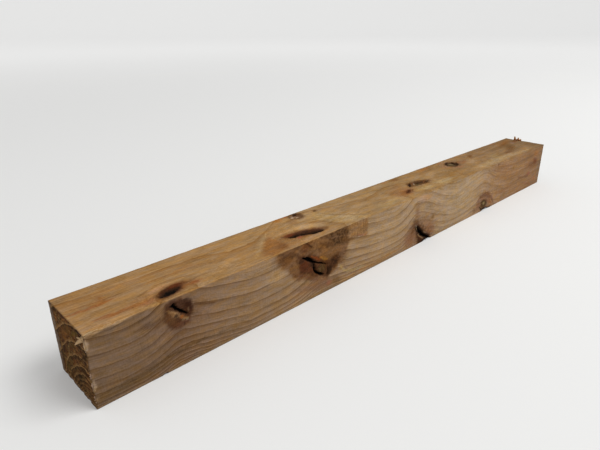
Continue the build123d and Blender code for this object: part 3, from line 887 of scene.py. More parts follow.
# %% Stains and painted shade of the top face, at (x, y)
TOP_STAINS_AND_SHADE = [
    # Tone of the wood: orange streaks near the end, pale and brown bands between the knots.
    stroke([(2, 26.5), (12, 25.4), (20, 24.6), (32, 24.4)], 1.6, (130, 88, 50), 0.75),
    stroke([(38, 24), (50, 25), (62, 24.4), (80, 22.6)], 1.8, (138, 96, 56), 0.65),
    stroke([(0, 22.0), (10, 21.4), (27, 21.8)], 3.0, (142, 86, 46), 0.75),
    patch([(17, 21), (18.4, 27), (20.4, 30.5), (22.6, 27), (24.6, 21.4)], 0.8, (140, 90, 44), 0.7),
    stroke([(10, 8.8), (20, 7.4), (30, 7.0), (41, 7.2)], 4.6, (136, 82, 42), 0.75),
    stroke([(64, 25), (72, 27), (80, 24.5)], 4.0, (150, 106, 62), 0.5),
    oval((34, 9), (14, 5), 12, 0.8, (148, 102, 58), 0.55),
    oval((10, 3), (14, 3), 0, 0.9, (170, 132, 92), 0.5),
    oval((88, 9), (22, 5.5), -12, 0.9, (168, 134, 94), 0.6),
    stroke([(62, 9.5), (78, 11.5), (92, 8), (102, 4.5)], 2.0, (134, 98, 60), 0.45),
    oval((88, 21), (22, 4), -8, 0.9, (142, 104, 64), 0.4),
    oval((92, 34), (24, 6), 0, 0.9, (144, 106, 64), 0.35),
    oval((30, 34), (26, 6), 0, 0.9, (156, 118, 76), 0.4),
    # First knot: a brown lens with a tail, an orange halo and a brown arch over it.
    stroke([(33, 12), (42, 17), (52, 19), (62, 18.5), (72, 14.5)], 2.4, (130, 92, 54), 0.55),
    oval((48, 14.6), (8, 2.4), 6, 0.7, (174, 130, 92), 0.75),
    oval((62, 9.5), (11, 5), -18, 0.8, (124, 80, 44), 0.7),
    oval((52, 8.0), (12.5, 6.2), 14, 0.55, (104, 62, 33), 0.9),
    oval((51, 7.6), (9.6, 4.3), 16, 0.4, (58, 32, 18), 0.95),
    oval((56.5, 11.4), (6, 2.4), 8, 0.6, (92, 45, 20), 0.9),
    # The near-black stroke and oval are painted shade in the knot's pocket.
    stroke([(44, 5.0), (49.5, 6.6), (57, 8.4)], 3.0, (24, 14, 9), 0.9),
    oval((53.4, 7.8), (5.2, 2.3), 16, 0.6, (28, 17, 11), 0.85),
    oval((67, 7.2), (4, 1.8), -6, 0.7, (132, 78, 42), 0.8),
    oval((37, 4.5), (5, 2.2), 0, 0.8, (148, 92, 52), 0.6),
    # Pale stripe and brown wood that run up to the second group.
    oval((140, 10), (26, 11), 0, 0.7, (136, 96, 54), 0.7),
    oval((152, 25), (18, 6), 10, 0.8, (146, 110, 66), 0.5),
    patch([(137, 9), (137, 25), (128, 19), (121, 12.5), (115.5, 4), (120, 1.5), (130, 2)], 1.4,
          (140, 96, 54), 0.85),
    stroke([(110, 6), (117, 12), (125, 19), (132, 25.5), (139, 31)], 4.4, (168, 136, 94), 0.75),
    oval((134, 7), (6, 5), 30, 0.7, (112, 73, 41), 0.7),
    oval((148, 36), (16, 8), 20, 0.9, (154, 116, 70), 0.4),
    oval((160.5, 42.5), (5.5, 3.4), 10, 0.7, (164, 108, 48), 0.75),
    oval((168.8, 44), (2.2, 2.0), 0, 0.7, (150, 88, 60), 0.7),
    # The long crack: maroon lips between two pale peach bands.
    oval((166, 21), (16, 6), -25, 0.8, (176, 142, 100), 0.75),
    oval((150, 23.5), (9, 1.6), 4, 0.8, (170, 132, 92), 0.6),
    oval((160, 4), (22, 3.6), 0, 0.8, (164, 126, 88), 0.75),
    oval((158.5, 13.0), (20, 6.2), -14, 0.5, (112, 70, 40), 0.9),
    oval((158, 12.6), (16.5, 4.2), -15, 0.4, (66, 38, 23), 0.95),
    # The near-black oval and stroke are painted shade in the crack's deep core.
    oval((150, 13.2), (4.6, 2.2), 0, 0.6, (26, 17, 11), 0.9),
    stroke([(156.4, 12.2), (162, 9.6), (171, 7.2)], 4.8, (24, 15, 10), 0.9),
    oval((147.5, 16.8), (6, 2.0), 0, 0.7, (104, 52, 28), 0.75),
    oval((151, 9.4), (3, 1.5), 10, 0.7, (150, 84, 62), 0.7),
    oval((175, 9.0), (4, 2.4), 0, 0.7, (104, 70, 40), 0.6),
    # Ring knot at the back edge and the small one beside it.
    oval((166, 33), (7, 5), 45, 0.8, (132, 94, 56), 0.6),
    oval((175.5, 39.0), (7.4, 6.8), 0, 0.35, (96, 66, 40), 0.9),
    oval((174.8, 39.0), (4.6, 4.4), 0, 0.4, (136, 104, 76), 0.8),
    oval((178.0, 39.6), (3.6, 3.8), 0, 0.5, (94, 62, 36), 0.85),
    oval((176.5, 42.0), (2.6, 1.5), 20, 0.5, (46, 30, 18), 0.9),
    oval((171.2, 38.6), (2.0, 1.2), 35, 0.5, (176, 150, 124), 0.85),
    oval((174.2, 36.4), (1.6, 1.0), 20, 0.5, (172, 146, 118), 0.8),
    oval((193.5, 37.6), (3.0, 2.6), 0, 0.7, (112, 78, 44), 0.85),
    oval((188.5, 38.5), (4, 2.2), 0, 0.8, (148, 112, 72), 0.6),
    # The long pale slope after it, with a grey band across.
    oval((192, 22), (11, 18), 25, 0.8, (172, 143, 100), 0.7),
    oval((204, 9), (14, 8), -20, 0.8, (172, 144, 102), 0.7),
    stroke([(180, 28), (182.6, 18), (187.6, 9.5)], 2.8, (136, 104, 66), 0.6),
    stroke([(190.6, 34), (198, 21.5), (208.6, 11.5), (218, 4)], 3.4, (134, 106, 72), 0.6),
    oval((246, 8), (16, 5), 4, 0.8, (172, 144, 98), 0.6),
    oval((218, 30), (20, 10), -20, 0.9, (158, 128, 92), 0.4),
    oval((240, 25), (8, 3), 0, 0.8, (138, 106, 66), 0.5),
    oval((247, 11), (7, 2.4), 30, 0.8, (140, 104, 64), 0.45),
    # Pair of knots at mid-length.
    oval((276, 22), (16, 10), 15, 0.9, (140, 100, 58), 0.6),
    oval((270, 16), (8, 8), 30, 0.8, (134, 92, 54), 0.5),
    oval((281, 14.5), (15, 7), 20, 0.9, (148, 100, 60), 0.75),
    oval((281, 13.0), (9.5, 4.4), 14, 0.7, (110, 70, 40), 0.9),
    stroke([(276.6, 11.4), (281.5, 13.4), (286.4, 15.6)], 4.0, (72, 38, 17), 0.9),
    stroke([(282.8, 9.8), (287, 12.8)], 1.5, (84, 52, 32), 0.8),
    oval((300, 9), (15, 4.4), -6, 0.8, (174, 144, 98), 0.8),
    oval((324, 9), (9, 6), -20, 0.8, (172, 146, 106), 0.75),
    oval((284, 27), (12, 5), 35, 0.8, (138, 102, 66), 0.55),
    patch([(290.5, 18.6), (293.5, 22.6), (296.5, 26.0), (304, 26.6), (312, 25.2), (319, 22.6),
           (325, 19.6), (318, 16.0), (311, 14.4), (304, 15.6), (297, 17.6)], 1.8, (96, 64, 38), 0.9),
    patch([(303, 17.2), (303.5, 24.6), (311, 24.0), (317, 21.0), (318.5, 18.4), (312, 16.0)], 1.6,
          (76, 50, 26), 0.85),
    patch([(306, 17), (306, 25), (318, 23), (323, 18), (314, 15)], 1.6, (118, 78, 42), 0.7, 1.6),
    patch([(302, 18), (303, 25), (309, 24), (311, 17)], 1.4, (50, 33, 17), 0.7, 1.2),
    # The near-black stroke along this crack is painted shade in it.
    stroke([(293, 19.6), (296, 22.5), (300, 25.6)], 3.6, (38, 24, 12), 0.9),
    oval((301.6, 18.2), (2.8, 1.5), 0, 0.6, (88, 72, 36), 0.8),
    stroke([(299.2, 19.8), (301.0, 21.2), (302.6, 23.0)], 1.6, (138, 122, 104), 0.9),
    oval((302.8, 24.2), (1.7, 1.1), 30, 0.6, (112, 66, 46), 0.8),
    stroke([(308.6, 16.2), (313, 18.6), (318, 21.6)], 1.5, (112, 70, 40), 0.75),
    stroke([(311, 15.2), (316, 17.4), (322, 20)], 1.4, (54, 32, 19), 0.8),
    oval((298.5, 40.5), (6.5, 3.4), 0, 0.8, (124, 84, 50), 0.75),
    oval((286, 42), (4, 2), 0, 0.8, (166, 110, 62), 0.5),
    oval((312, 33), (14, 6), 10, 0.9, (156, 124, 88), 0.5),
    oval((347, 41), (14, 3.2), 4, 0.8, (146, 96, 48), 0.75),
    oval((338, 35), (15, 4), 15, 0.9, (138, 102, 62), 0.6),
    oval((334, 26), (16, 4.2), 22, 0.8, (168, 136, 98), 0.65),
    oval((352, 15), (16, 6), 22, 0.9, (140, 104, 58), 0.6),
    oval((331, 7), (14, 5), 12, 0.8, (176, 150, 110), 0.7),
    oval((364, 24), (7, 6), 30, 0.9, (136, 104, 66), 0.55),
    # Last knot: a dark ring with an olive heart, pink round it.
    oval((380, 30.5), (15, 12), 0, 0.8, (142, 102, 70), 0.75),
    oval((380.2, 30.6), (10.0, 8.4), 20, 0.45, (98, 66, 42), 0.9),
    oval((380.4, 30.8), (7.8, 6.8), 25, 0.4, (60, 42, 25), 0.9),
    oval((376.8, 29.6), (4.6, 5.2), 0, 0.5, (88, 70, 44), 0.85),
    oval((379.0, 31.4), (2.2, 3.2), -25, 0.6, (116, 100, 76), 0.9),
    # The three near-black strokes along the cracks are painted shade in them.
    stroke([(372.4, 30.5), (374.6, 34.2), (378, 36.6), (383, 38)], 2.4, (46, 30, 17), 0.9),
    stroke([(381.8, 28.4), (383.2, 31.5), (386.4, 35.2)], 3.6, (40, 24, 13), 0.9),
    stroke([(380.6, 25.6), (385, 28), (390, 31.8)], 2.6, (44, 26, 12), 0.9),
    oval((376.5, 25.0), (3.4, 1.8), -10, 0.6, (84, 58, 38), 0.8),
    oval((378.5, 20.5), (4.5, 2.4), -20, 0.8, (150, 100, 70), 0.6),
    oval((366, 31), (3.5, 4), 0, 0.8, (148, 106, 74), 0.6),
    oval((373, 41), (4, 1.8), 0, 0.8, (146, 92, 62), 0.6),
    oval((392, 30), (5, 2.2), 20, 0.8, (138, 90, 64), 0.6),
    # Browner wood at the far end, in slanting patches.
    oval((421, 34), (6.5, 3.0), 25, 0.8, (102, 66, 36), 0.9),
    oval((415.5, 29.5), (3.6, 2.0), 25, 0.8, (116, 80, 50), 0.85),
    oval((398, 28), (8, 3), 20, 0.8, (142, 96, 66), 0.6),
    oval((418, 7), (40, 8), 4, 0.9, (166, 138, 100), 0.7),
    stroke([(392, 6), (420, 8), (455, 6.5), (490, 4)], 9.0, (166, 140, 104), 0.6),
    oval((470, 5), (36, 5), 2, 0.9, (158, 126, 88), 0.6),
    oval((405, 22), (16, 7), 30, 0.9, (166, 134, 96), 0.55),
    oval((440, 17), (14, 6), 20, 0.9, (158, 132, 90), 0.5),
    oval((448, 30), (10, 5), 20, 0.9, (142, 116, 88), 0.5),
    oval((464, 13.5), (7, 3.2), -10, 0.8, (108, 72, 42), 0.85),
    oval((482, 19), (24, 5.5), 22, 0.8, (110, 76, 42), 0.8),
    oval((500, 35), (24, 6), 12, 0.8, (124, 82, 40), 0.8),
    oval((516, 30), (9, 3), 15, 0.8, (118, 72, 42), 0.7),
    stroke([(452, 37), (470, 36), (488, 39)], 4.0, (120, 92, 58), 0.55),
    oval((486, 42), (8, 3), 0, 0.8, (138, 96, 64), 0.6),
    oval((507, 29), (5, 2.4), 10, 0.8, (142, 112, 92), 0.65),
    oval((494, 10), (14, 4), 20, 0.9, (148, 112, 72), 0.5),
    oval((446, 39), (4, 2.4), 0, 0.8, (150, 112, 82), 0.5),
    oval((517, 12), (10, 10), 0, 0.9, (112, 84, 56), 0.5),
]

# %% Stains of the two faces that lie away from view: the far sides of the same branches
BACK_STAINS = [
    oval((170, 31), (20, 13), 0, 0.8, (132, 96, 62), 0.6),
    oval((172, 32), (9, 8), 0, 0.35, (88, 58, 35), 0.9),
    oval((172, 32), (5, 4.4), 0, 0.5, (122, 88, 56), 0.85),
    oval((172.5, 33), (2.2, 1.6), 30, 0.5, (46, 30, 18), 0.9),
    oval((57, 20), (12, 8), 0, 0.8, (126, 90, 58), 0.6),
    oval((57, 20), (5.0, 4.2), 0, 0.4, (90, 60, 36), 0.85),
    oval((288, 26), (18, 10), 0, 0.8, (132, 96, 62), 0.6),
    oval((287, 26), (8, 6), 10, 0.4, (92, 62, 38), 0.85),
    oval((286, 26), (3.4, 2.6), 10, 0.5, (118, 90, 60), 0.85),
    oval((388, 38), (16, 9), 0, 0.8, (130, 94, 60), 0.6),
    oval((387, 39), (6, 5), 0, 0.4, (84, 56, 34), 0.85),
    stroke([(200, 12), (250, 14), (300, 12)], 3.0, (140, 100, 60), 0.4),
    oval((450, 20), (60, 14), 0, 0.9, (132, 98, 66), 0.5),
]
UNDER_STAINS = [
    oval((292, 10), (24, 9), 0, 0.8, (116, 82, 54), 0.7),
    oval((290, 8), (9, 5), -20, 0.4, (78, 50, 30), 0.9),
    oval((400, 8), (20, 8), 0, 0.8, (118, 84, 56), 0.7),
    oval((399, 7), (8, 4.6), 0, 0.4, (84, 56, 34), 0.9),
    oval((160, 26), (18, 9), 0, 0.8, (126, 90, 56), 0.6),
    oval((160, 26), (7, 5), 0, 0.4, (90, 60, 36), 0.85),
    oval((54, 30), (5, 3.6), 0, 0.5, (94, 64, 38), 0.8),
]

# %% Stains of the near end, at (y, z): dark hollows, rusty patches and crushed pale fibres
END_STAINS = [
    oval((30, 43), (9, 2.4), 0, 0.7, (72, 44, 29), 0.8),
    oval((8, 43), (6, 2.2), 0, 0.7, (48, 33, 23), 0.8),
    stroke([(10, 40.5), (15, 38), (21, 34)], 3.4, (90, 70, 28), 0.75),
    oval((9, 36), (5, 4), -40, 0.7, (58, 36, 17), 0.75),
    oval((33, 29), (7, 5.5), -30, 0.8, (102, 64, 27), 0.8),
    oval((36, 20), (3.6, 7), 10, 0.7, (62, 38, 20), 0.75),
    oval((6.5, 27.5), (4.5, 3.2), -30, 0.7, (48, 30, 13), 0.85),
    oval((24, 36), (8, 4), -20, 0.8, (94, 62, 24), 0.6),
    oval((13, 16), (7, 3.6), -25, 0.7, (58, 36, 14), 0.8),
    oval((22, 28), (6, 3), -25, 0.8, (88, 62, 27), 0.5),
    oval((19.5, 8.2), (5.5, 3.0), -35, 0.7, (40, 30, 14), 0.85),
    oval((9, 8), (6, 3), -25, 0.7, (86, 52, 24), 0.7),
    oval((31, 14), (5, 4), -30, 0.8, (92, 68, 29), 0.6),
    oval((37, 7), (5, 4), -20, 0.8, (88, 70, 30), 0.7),
    oval((27, 2.5), (9, 2), 0, 0.7, (70, 48, 23), 0.6),
    stroke([(44.4, -4), (44.4, 49)], 2.2, (108, 94, 82), 0.85),
    stroke([(-0.5, 38), (4, 36)], 4.0, (152, 132, 102), 0.8),
    stroke([(-0.5, 21), (4, 17)], 2.6, (150, 122, 104), 0.75),
    stroke([(-0.5, 14.5), (4.5, 9)], 3.4, (156, 126, 108), 0.8),
    stroke([(-0.5, 7.5), (3, 4)], 2.4, (150, 118, 90), 0.75),
]

# %% Lay the stains and painted shade on the four long faces and the near end
# How well each face is lit, so that a stain is seen in the colour that its row gives.
FRONT_LIT, TOP_LIT, END_LIT = 0.83, 1.0, 0.64
stain_and_shade_colour = np.zeros(surface.shape)
stain_and_shade_cover = np.zeros(surface.shape[:2])
for face, stains, across, lit in (("front", FRONT_STAINS_AND_SHADE, loop_z, FRONT_LIT),
                                  ("top", TOP_STAINS_AND_SHADE, loop_y, TOP_LIT),
                                  ("back", BACK_STAINS, loop_z, FRONT_LIT),
                                  ("under", UNDER_STAINS, loop_y, FRONT_LIT)):
    colour, cover = lay_on(stains, LINE, across[None, :], lit, seed=200)
    stain_and_shade_colour += FACING[face][None, :, None] * colour
    stain_and_shade_cover += FACING[face][None, :] * cover
end_colour, end_cover = lay_on(END_STAINS, near_rings[..., 1], near_rings[..., 2], END_LIT, seed=700)
print("stains laid on", sum(map(len, (FRONT_STAINS_AND_SHADE, TOP_STAINS_AND_SHADE, BACK_STAINS, UNDER_STAINS, END_STAINS))))


# %% Join the grids into one closed mesh
def grid_quads(rows, columns, first=0):
    """Quads of a grid whose columns close on themselves, numbered row by row."""
    low = first + np.arange(rows - 1)[:, None] * columns
    here = np.arange(columns)[None, :]
    ahead = (here + 1) % columns
    return np.stack((low + here, low + columns + here, low + columns + ahead, low + ahead), 2).reshape(-1, 4)


def fan(ring_first, middle, columns, flip):
    """Triangles from one loop to its middle point."""
    here = ring_first + np.arange(columns)
    ahead = ring_first + (np.arange(columns) + 1) % columns
    tris = np.stack((here, np.full(columns, middle), ahead), 1)
    return tris[:, ::-1] if flip else tris


def to_frame(points):
    """Millimetres from the timber's corner, given as metres in the frame."""
    return (np.asarray(points, float) + np.array([START, FRONT, 0.0])) * MM


def make_piece(name, points, faces_of, depth, colour, cover):
    """A smooth-shaded object with the attributes sunk, stain and cover at its points."""
    mesh = bpy.data.meshes.new(name)
    mesh.from_pydata(to_frame(points).tolist(), [], faces_of)
    mesh.polygons.foreach_set("use_smooth", np.ones(len(mesh.polygons), bool))
    mesh.attributes.new("sunk", "FLOAT", "POINT").data.foreach_set("value", depth.astype(np.float32))
    mesh.attributes.new("cover", "FLOAT", "POINT").data.foreach_set("value", cover.astype(np.float32))
    stain = mesh.attributes.new("stain", "FLOAT_VECTOR", "POINT")
    stain.data.foreach_set("vector", colour.astype(np.float32).ravel())
    mesh.update()
    piece = bpy.data.objects.new(name, mesh)
    bpy.context.scene.collection.objects.link(piece)
    triangles = sum(len(face) - 2 for face in faces_of)
    print(name, len(points), "points", triangles, "triangles")
    return piece


columns = surface.shape[1]
whole_grid = np.concatenate((near_rings[::-1], surface, far_rings))
rows = whole_grid.shape[0]
vertices = np.concatenate((whole_grid.reshape(-1, 3), near_middle, far_middle))
INSIDE = 0.02
low_corner = np.array([INSIDE, INSIDE, 0.0])
high_corner = np.array([LENGTH, WIDTH, HEIGHT]) - INSIDE
vertices = np.clip(vertices, low_corner, high_corner)


def over_grid(values, near_end=0.0):
    """Spread values of the long surface and of the near end over all points of the grid."""
    full = np.zeros((rows, columns) + values.shape[2:])
    first = near_rings.shape[0]
    full[:first] = near_end
    full[first:first + len(stations)] = values
    flat = full.reshape((-1,) + values.shape[2:])
    return np.concatenate((flat, np.zeros((2,) + values.shape[2:])))


quads = grid_quads(rows, columns).tolist()
near_fan = fan(0, rows * columns, columns, flip=False).tolist()
far_fan = fan((rows - 1) * columns, rows * columns + 1, columns, flip=True).tolist()
timber = make_piece("timber", vertices, quads + near_fan + far_fan, over_grid(hollow),
                    over_grid(stain_and_shade_colour, end_colour[::-1]), over_grid(stain_and_shade_cover, end_cover[::-1]))


# %% [markdown]
# ## The growth rings
#
# Rings are shells round the pith, and the pith of this tree lay a little below the timber: on
# the near end the rings are arches about it. A shell is named by the height at which it
# meets the front face. Near the floor the rings show there as lines 3 mm apart, and near the
# top 11 mm apart, which is what the formula gives. Round each branch the rings swell outward,
# so there the lines climb over the knot. The pith also sinks away slowly towards the far end,
# so the lines drift down.

# %% Where the wood's features are
PITH_Y, PITH_Z = 8.5, -12.5
WIDEST_RING, HALF_WIDE_AT, RING_EASE, RING_OFFSET = 11.6, 18.0, 10.0, 0.3
WHORLS = [
    {"x": -12.0, "rise": 5.0, "before": 10.0, "after": 18.0, "reach_back": 30.0},
    {"x": 51.0, "rise": 9.0, "before": 15.0, "after": 22.0, "reach_back": 16.0},
    {"x": 164.0, "rise": 12.0, "before": 20.0, "after": 46.0, "reach_back": 70.0},
    {"x": 279.0, "rise": 13.0, "before": 17.0, "after": 38.0, "reach_back": 30.0},
    {"x": 389.0, "rise": 12.0, "before": 33.0, "after": 24.0, "reach_back": 60.0},
]
DRIFTS = [(80, 106, 3.2), (262, 360, 7.0), (395, 470, 2.6), (482, 512, -1.6)]
TO_MM = (1000.0, 1000.0, 1000.0)

wood = Bench("sawn_softwood")
X, Y, Z = wood.split(wood.multiply_add(wood.object_place(), TO_MM, (-START, -FRONT, 0.0)))

# %% Ring number and the dark line at the end of each ring
slow = wood.noise(wood.join(X / 55.0, Y / 16.0, Z / 16.0), detail=2.0)
ripple = wood.noise(wood.join(X / 8.0, Y / 4.0, Z / 4.0), detail=2.0)
radius = wood.vector("LENGTH", wood.join(0.0, Y - PITH_Y, Z - PITH_Z), output=1)
beyond = wood.sum("MAXIMUM", radius * radius - PITH_Y ** 2, 0.0)
level = wood.sum("SQRT", beyond) + PITH_Z
swell = 0.0
for whorl in WHORLS:
    gap = X - whorl["x"]
    past = wood.sum("GREATER_THAN", gap, 0.0)
    reach = past * (whorl["after"] - whorl["before"]) + whorl["before"]
    along, back = gap / reach, Y / whorl["reach_back"]
    swell = wood.sum("EXPONENT", -(along * along + back * back)) * whorl["rise"] + swell
height_gain = wood.ease(level, -4.0, 40.0, 0.45, 1.0)
drift = 0.3
for low, high, fall in DRIFTS:
    drift = wood.ease(X, low, high, 0.0, fall) + drift
outward = level + drift - swell * height_gain + (slow - 0.5) * 3.0 + (ripple - 0.5) * 1.1
young = wood.sum("EXPONENT", (HALF_WIDE_AT - outward) / RING_EASE)
pace = WIDEST_RING / (young + 1.0)
number = (outward - young * RING_EASE) / WIDEST_RING - RING_OFFSET
part = wood.sum("FRACT", number)
to_line = (1.0 - part) * pace
from_line = part * pace
# Late wood darkens in two steps before the line, a sharp one and a long one, and stops at it.
late = wood.sum("EXPONENT", to_line * -0.8) * 0.68 + wood.sum("EXPONENT", to_line * -0.30) * 0.34
late = late * wood.ease(from_line, 0.0, 0.9)
print("ring formula ready")

# %% [markdown]
# ## Fibres, saw marks and the colour of each face
#
# Between the rings the wood is streaked along the grain. The streaks use the distance from
# the pith and the distance round it in place of height and depth, so they bend with the
# rings. The front is grey and pink at the near end, creamy half-way and orange at the far
# end, and it is also painted darker towards the near end: painted shade of a light that falls
# off along it. The top is a warmer yellow, and the end grain brown. The saw left faint upright
# marks, and clear ones in the torn grain past the second knot.

# %% Soft fields for the streaks
round_pith = wood.sum("ARCTAN2", Y - PITH_Y, Z - PITH_Z) * 45.0
streak = wood.noise(wood.join(X / 24.0, outward / 0.9, round_pith / 0.9), detail=4.0, roughness=0.6)
broad = wood.noise(wood.join(X / 60.0, outward / 4.5, round_pith / 4.5), detail=2.0)
fleck = wood.noise(wood.join(X / 2.4, outward / 0.45, round_pith / 0.45), detail=2.0)
blotch = wood.noise(wood.join(X / 16.0, Y / 8.0, Z / 8.0), detail=2.0)
grain = wood.noise(wood.join(X * 1.1, Y * 1.1, Z * 1.1), detail=2.0)
saw = wood.noise(wood.join((X + Z * 0.05 + Y * 0.25) / 0.75, Y / 9.0, Z / 9.0), detail=1.0)

# %% Bare wood of the long faces, the front's with painted shade towards the near end
# The front's tones change hue along the length. They are also darker towards the near end: painted shade of a
# light that falls off along it.
FRONT_TONES_AND_SHADE = [(0.0, 115, 92, 70), (0.10, 123, 97, 74), (0.22, 142, 116, 89), (0.42, 151, 125, 96),
               (0.66, 154, 130, 103), (0.78, 147, 117, 87), (0.90, 138, 106, 76), (1.0, 127, 97, 70)]
TOP_TONES = [(0.0, 155, 120, 80), (0.20, 159, 125, 84), (0.45, 157, 127, 89), (0.66, 148, 116, 76),
             (0.82, 139, 109, 76), (1.0, 128, 102, 72)]
FRONT_LINE_TINT = (0.43, 0.34, 0.24)
TOP_LINE_TINT = (0.70, 0.57, 0.40)


def tones(table, lit):
    """A colour ramp's stops from a table of (place, red, green, blue) as seen."""
    return [(place_along, tint(*seen, lit)) for place_along, *seen in table]


front_wood_and_shade = wood.ramp(X / LENGTH, tones(FRONT_TONES_AND_SHADE, FRONT_LIT))
top_wood = wood.ramp(X / LENGTH, tones(TOP_TONES, TOP_LIT))
on_top = wood.ease(Z, HEIGHT - 1.1, HEIGHT - 0.35)
# The end grain's colour belongs to the two sawn faces, which lie SAWN_BACK inside the ends.
from_end = wood.sum("MINIMUM", X, LENGTH - X)
on_end = wood.ease(from_end, SAWN_BACK + 0.6, SAWN_BACK + 1.0, 1.0, 0.0)
rim = wood.sum("MINIMUM", wood.sum("MINIMUM", Y, WIDTH - Y), wood.sum("MINIMUM", Z, HEIGHT - Z))
on_end = on_end * wood.ease(rim, 0.35, 0.7)

line_tint = wood.mix(on_top, FRONT_LINE_TINT, TOP_LINE_TINT)
# The dark lines are broken here and there, and half as strong past the middle.
broken = wood.ease(blotch, 0.25, 0.6, 0.65, 1.0) * wood.ease(fleck, 0.2, 0.6, 0.8, 1.0)
broken = broken * wood.ease(X, 230.0, 350.0, 1.0, 0.5)
long_wood = wood.mix(on_top, front_wood_and_shade, top_wood)
long_wood = wood.vector("MULTIPLY", long_wood, wood.mix(late * broken, (1.0, 1.0, 1.0), line_tint))

# %% Stains and painted shade over it, and the play of the fibres over both
cover = wood.attribute("cover", 2)
stain = wood.attribute("stain", 1)
uncovered = 1.0 - cover
bare = wood.join(uncovered, uncovered, uncovered)
long_wood = wood.multiply_add(long_wood, bare, stain)
# The play is 0 on average and stronger in a stain, and blue swings most with it, red least.
DARKEST_PLAY = -0.7
lively = 1.0 + cover * 0.8
play = ((fleck - 0.5) * 0.40 + (grain - 0.5) * 0.35) * lively
for field, share in ((streak, 0.95), (broad, 0.6), (saw, 0.26), (blotch, 0.5)):
    play = (field - 0.5) * share + play
play = wood.sum("MAXIMUM", play, DARKEST_PLAY)
long_wood = wood.vector("MULTIPLY", long_wood, wood.join(1.0 + play * 0.92, 1.0 + play, 1.0 + play * 1.25))
warm = wood.noise(wood.join(X / 9.0 + 40.0, Y / 3.5, Z / 3.5), detail=3.0, roughness=0.6)
fine_warm = wood.noise(wood.join(X / 5.0, outward / 0.7 + 30.0, round_pith / 0.7), detail=2.0)
warmth = wood.ease(warm * 0.8 + fine_warm * 0.2, 0.38, 0.63)
PALE_WARMTH, RUSTY_WARMTH = (0.96, 1.00, 1.12), (1.06, 0.98, 0.78)
long_wood = wood.vector("MULTIPLY", long_wood, wood.mix(warmth, PALE_WARMTH, RUSTY_WARMTH))

# %% Marks of the saw's teeth in the torn grain past the second knot
TOOTH_PITCH = 1.75
TORN_UNTIL = 211.8
BETWEEN_TEETH, UNDER_TEETH = (1.06, 1.06, 1.06), (0.50, 0.44, 0.38)
teeth = wood.sum("SINE", X * (2 * math.pi / TOOTH_PITCH) + Z * 0.12)
combed = wood.ease(X, 174.0, 188.0) * wood.ease(X, TORN_UNTIL - 1.2, TORN_UNTIL, 1.0, 0.0)
combed = combed * wood.ease(Z, 31.0, 35.0) * wood.ease(Y, 0.4, 1.2, 1.0, 0.0)
combed = combed * wood.ease(teeth, -0.3, 0.8) * 0.5
long_wood = wood.vector("MULTIPLY", long_wood, wood.mix(combed, BETWEEN_TEETH, UNDER_TEETH))

# %% End grain: mottled brown, a dark and a pale line at each ring, and a torn fringe round it
END_TONES = [(0.34, 44, 27, 14), (0.43, 64, 41, 21), (0.50, 83, 56, 31), (0.57, 100, 70, 39),
             (0.66, 122, 92, 56)]
REDDISH, OLIVE = (1.14, 0.90, 0.68), (0.92, 1.01, 0.94)
# Dark late wood before each ring's end and a pale thread of early wood after it.
END_PALE = tint(132, 100, 62, END_LIT)
END_DARK = tint(40, 26, 14, END_LIT)
FRINGE = tint(146, 114, 80, 0.85)
mottle = wood.noise(wood.join(X / 3.0, Y / 3.0 + Z / 9.0, Z / 1.7), detail=4.0, roughness=0.68)
olive = wood.noise(wood.join(X / 3.0 + 9.0, Y / 3.2, Z / 3.2), detail=3.0)
end_wood = wood.ramp(mottle, tones(END_TONES, END_LIT))
hue = wood.mix(wood.ease(olive, 0.35, 0.62), REDDISH, OLIVE)
end_wood = wood.vector("MULTIPLY", end_wood, hue)
end_wood = wood.multiply_add(end_wood, bare, wood.scale(stain, 0.5 + mottle))
end_wood = wood.mix(late * 0.72, end_wood, END_DARK)
thread = wood.ease(from_line, 0.1, 2.0, 0.72, 0.0) * wood.ease(mottle, 0.30, 0.50, 0.2, 1.0)
thread = thread * wood.ease(pace, 2.0, 7.0, 0.5, 1.0)
end_wood = wood.mix(thread, end_wood, END_PALE)
end_wood = wood.scale(end_wood, grain + 0.5)
in_runs = wood.sum("MAXIMUM", wood.ease(olive, 0.35, 0.6, 0.2, 1.0), wood.ease(Y, 0.9, 1.6, 1.0, 0.0))
torn_rim = wood.ease(rim + (grain - 0.5) * 2.0, 0.3, 1.2, 0.8, 0.0) * in_runs
end_wood = wood.mix(torn_rim, end_wood, FRINGE)
colour = wood.mix(on_end, long_wood, end_wood)

# %% Rubbed corners are paler, and the openings are painted dark inside: painted shade, and dead bark deeper in
RUBBED = (1.20, 1.18, 1.14)
NEAR_EDGE = 6.0
from_front = wood.sum("MINIMUM", Y, NEAR_EDGE)
from_top = wood.sum("MINIMUM", HEIGHT - Z, NEAR_EDGE)
corner = wood.ease(from_front + from_top, 0.5, 1.7, 1.0, 0.0) * wood.ease(streak, 0.3, 0.55)
corner = corner * wood.ease(X, 90.0, 230.0, 1.0, 0.3)
colour = wood.vector("MULTIPLY", colour, wood.mix(corner, (1.0, 1.0, 1.0), RUBBED))
shade_and_bark_mm = wood.attribute("sunk", 2)
# The openings' walls are painted darker with depth, as painted shade, and their deepest parts near black, as
# dead bark and painted shade.
SHADED_WALL, BARK_AND_SHADE = tint(58, 36, 21), tint(17, 12, 8)
wall = wood.scale(SHADED_WALL, grain * 2.0)
colour = wood.mix(wood.ease(shade_and_bark_mm, 0.15, 1.0, 0.0, 0.8), colour, wall)
colour = wood.mix(wood.ease(shade_and_bark_mm + (grain - 0.5) * 2.2, 0.9, 2.4), colour, BARK_AND_SHADE)

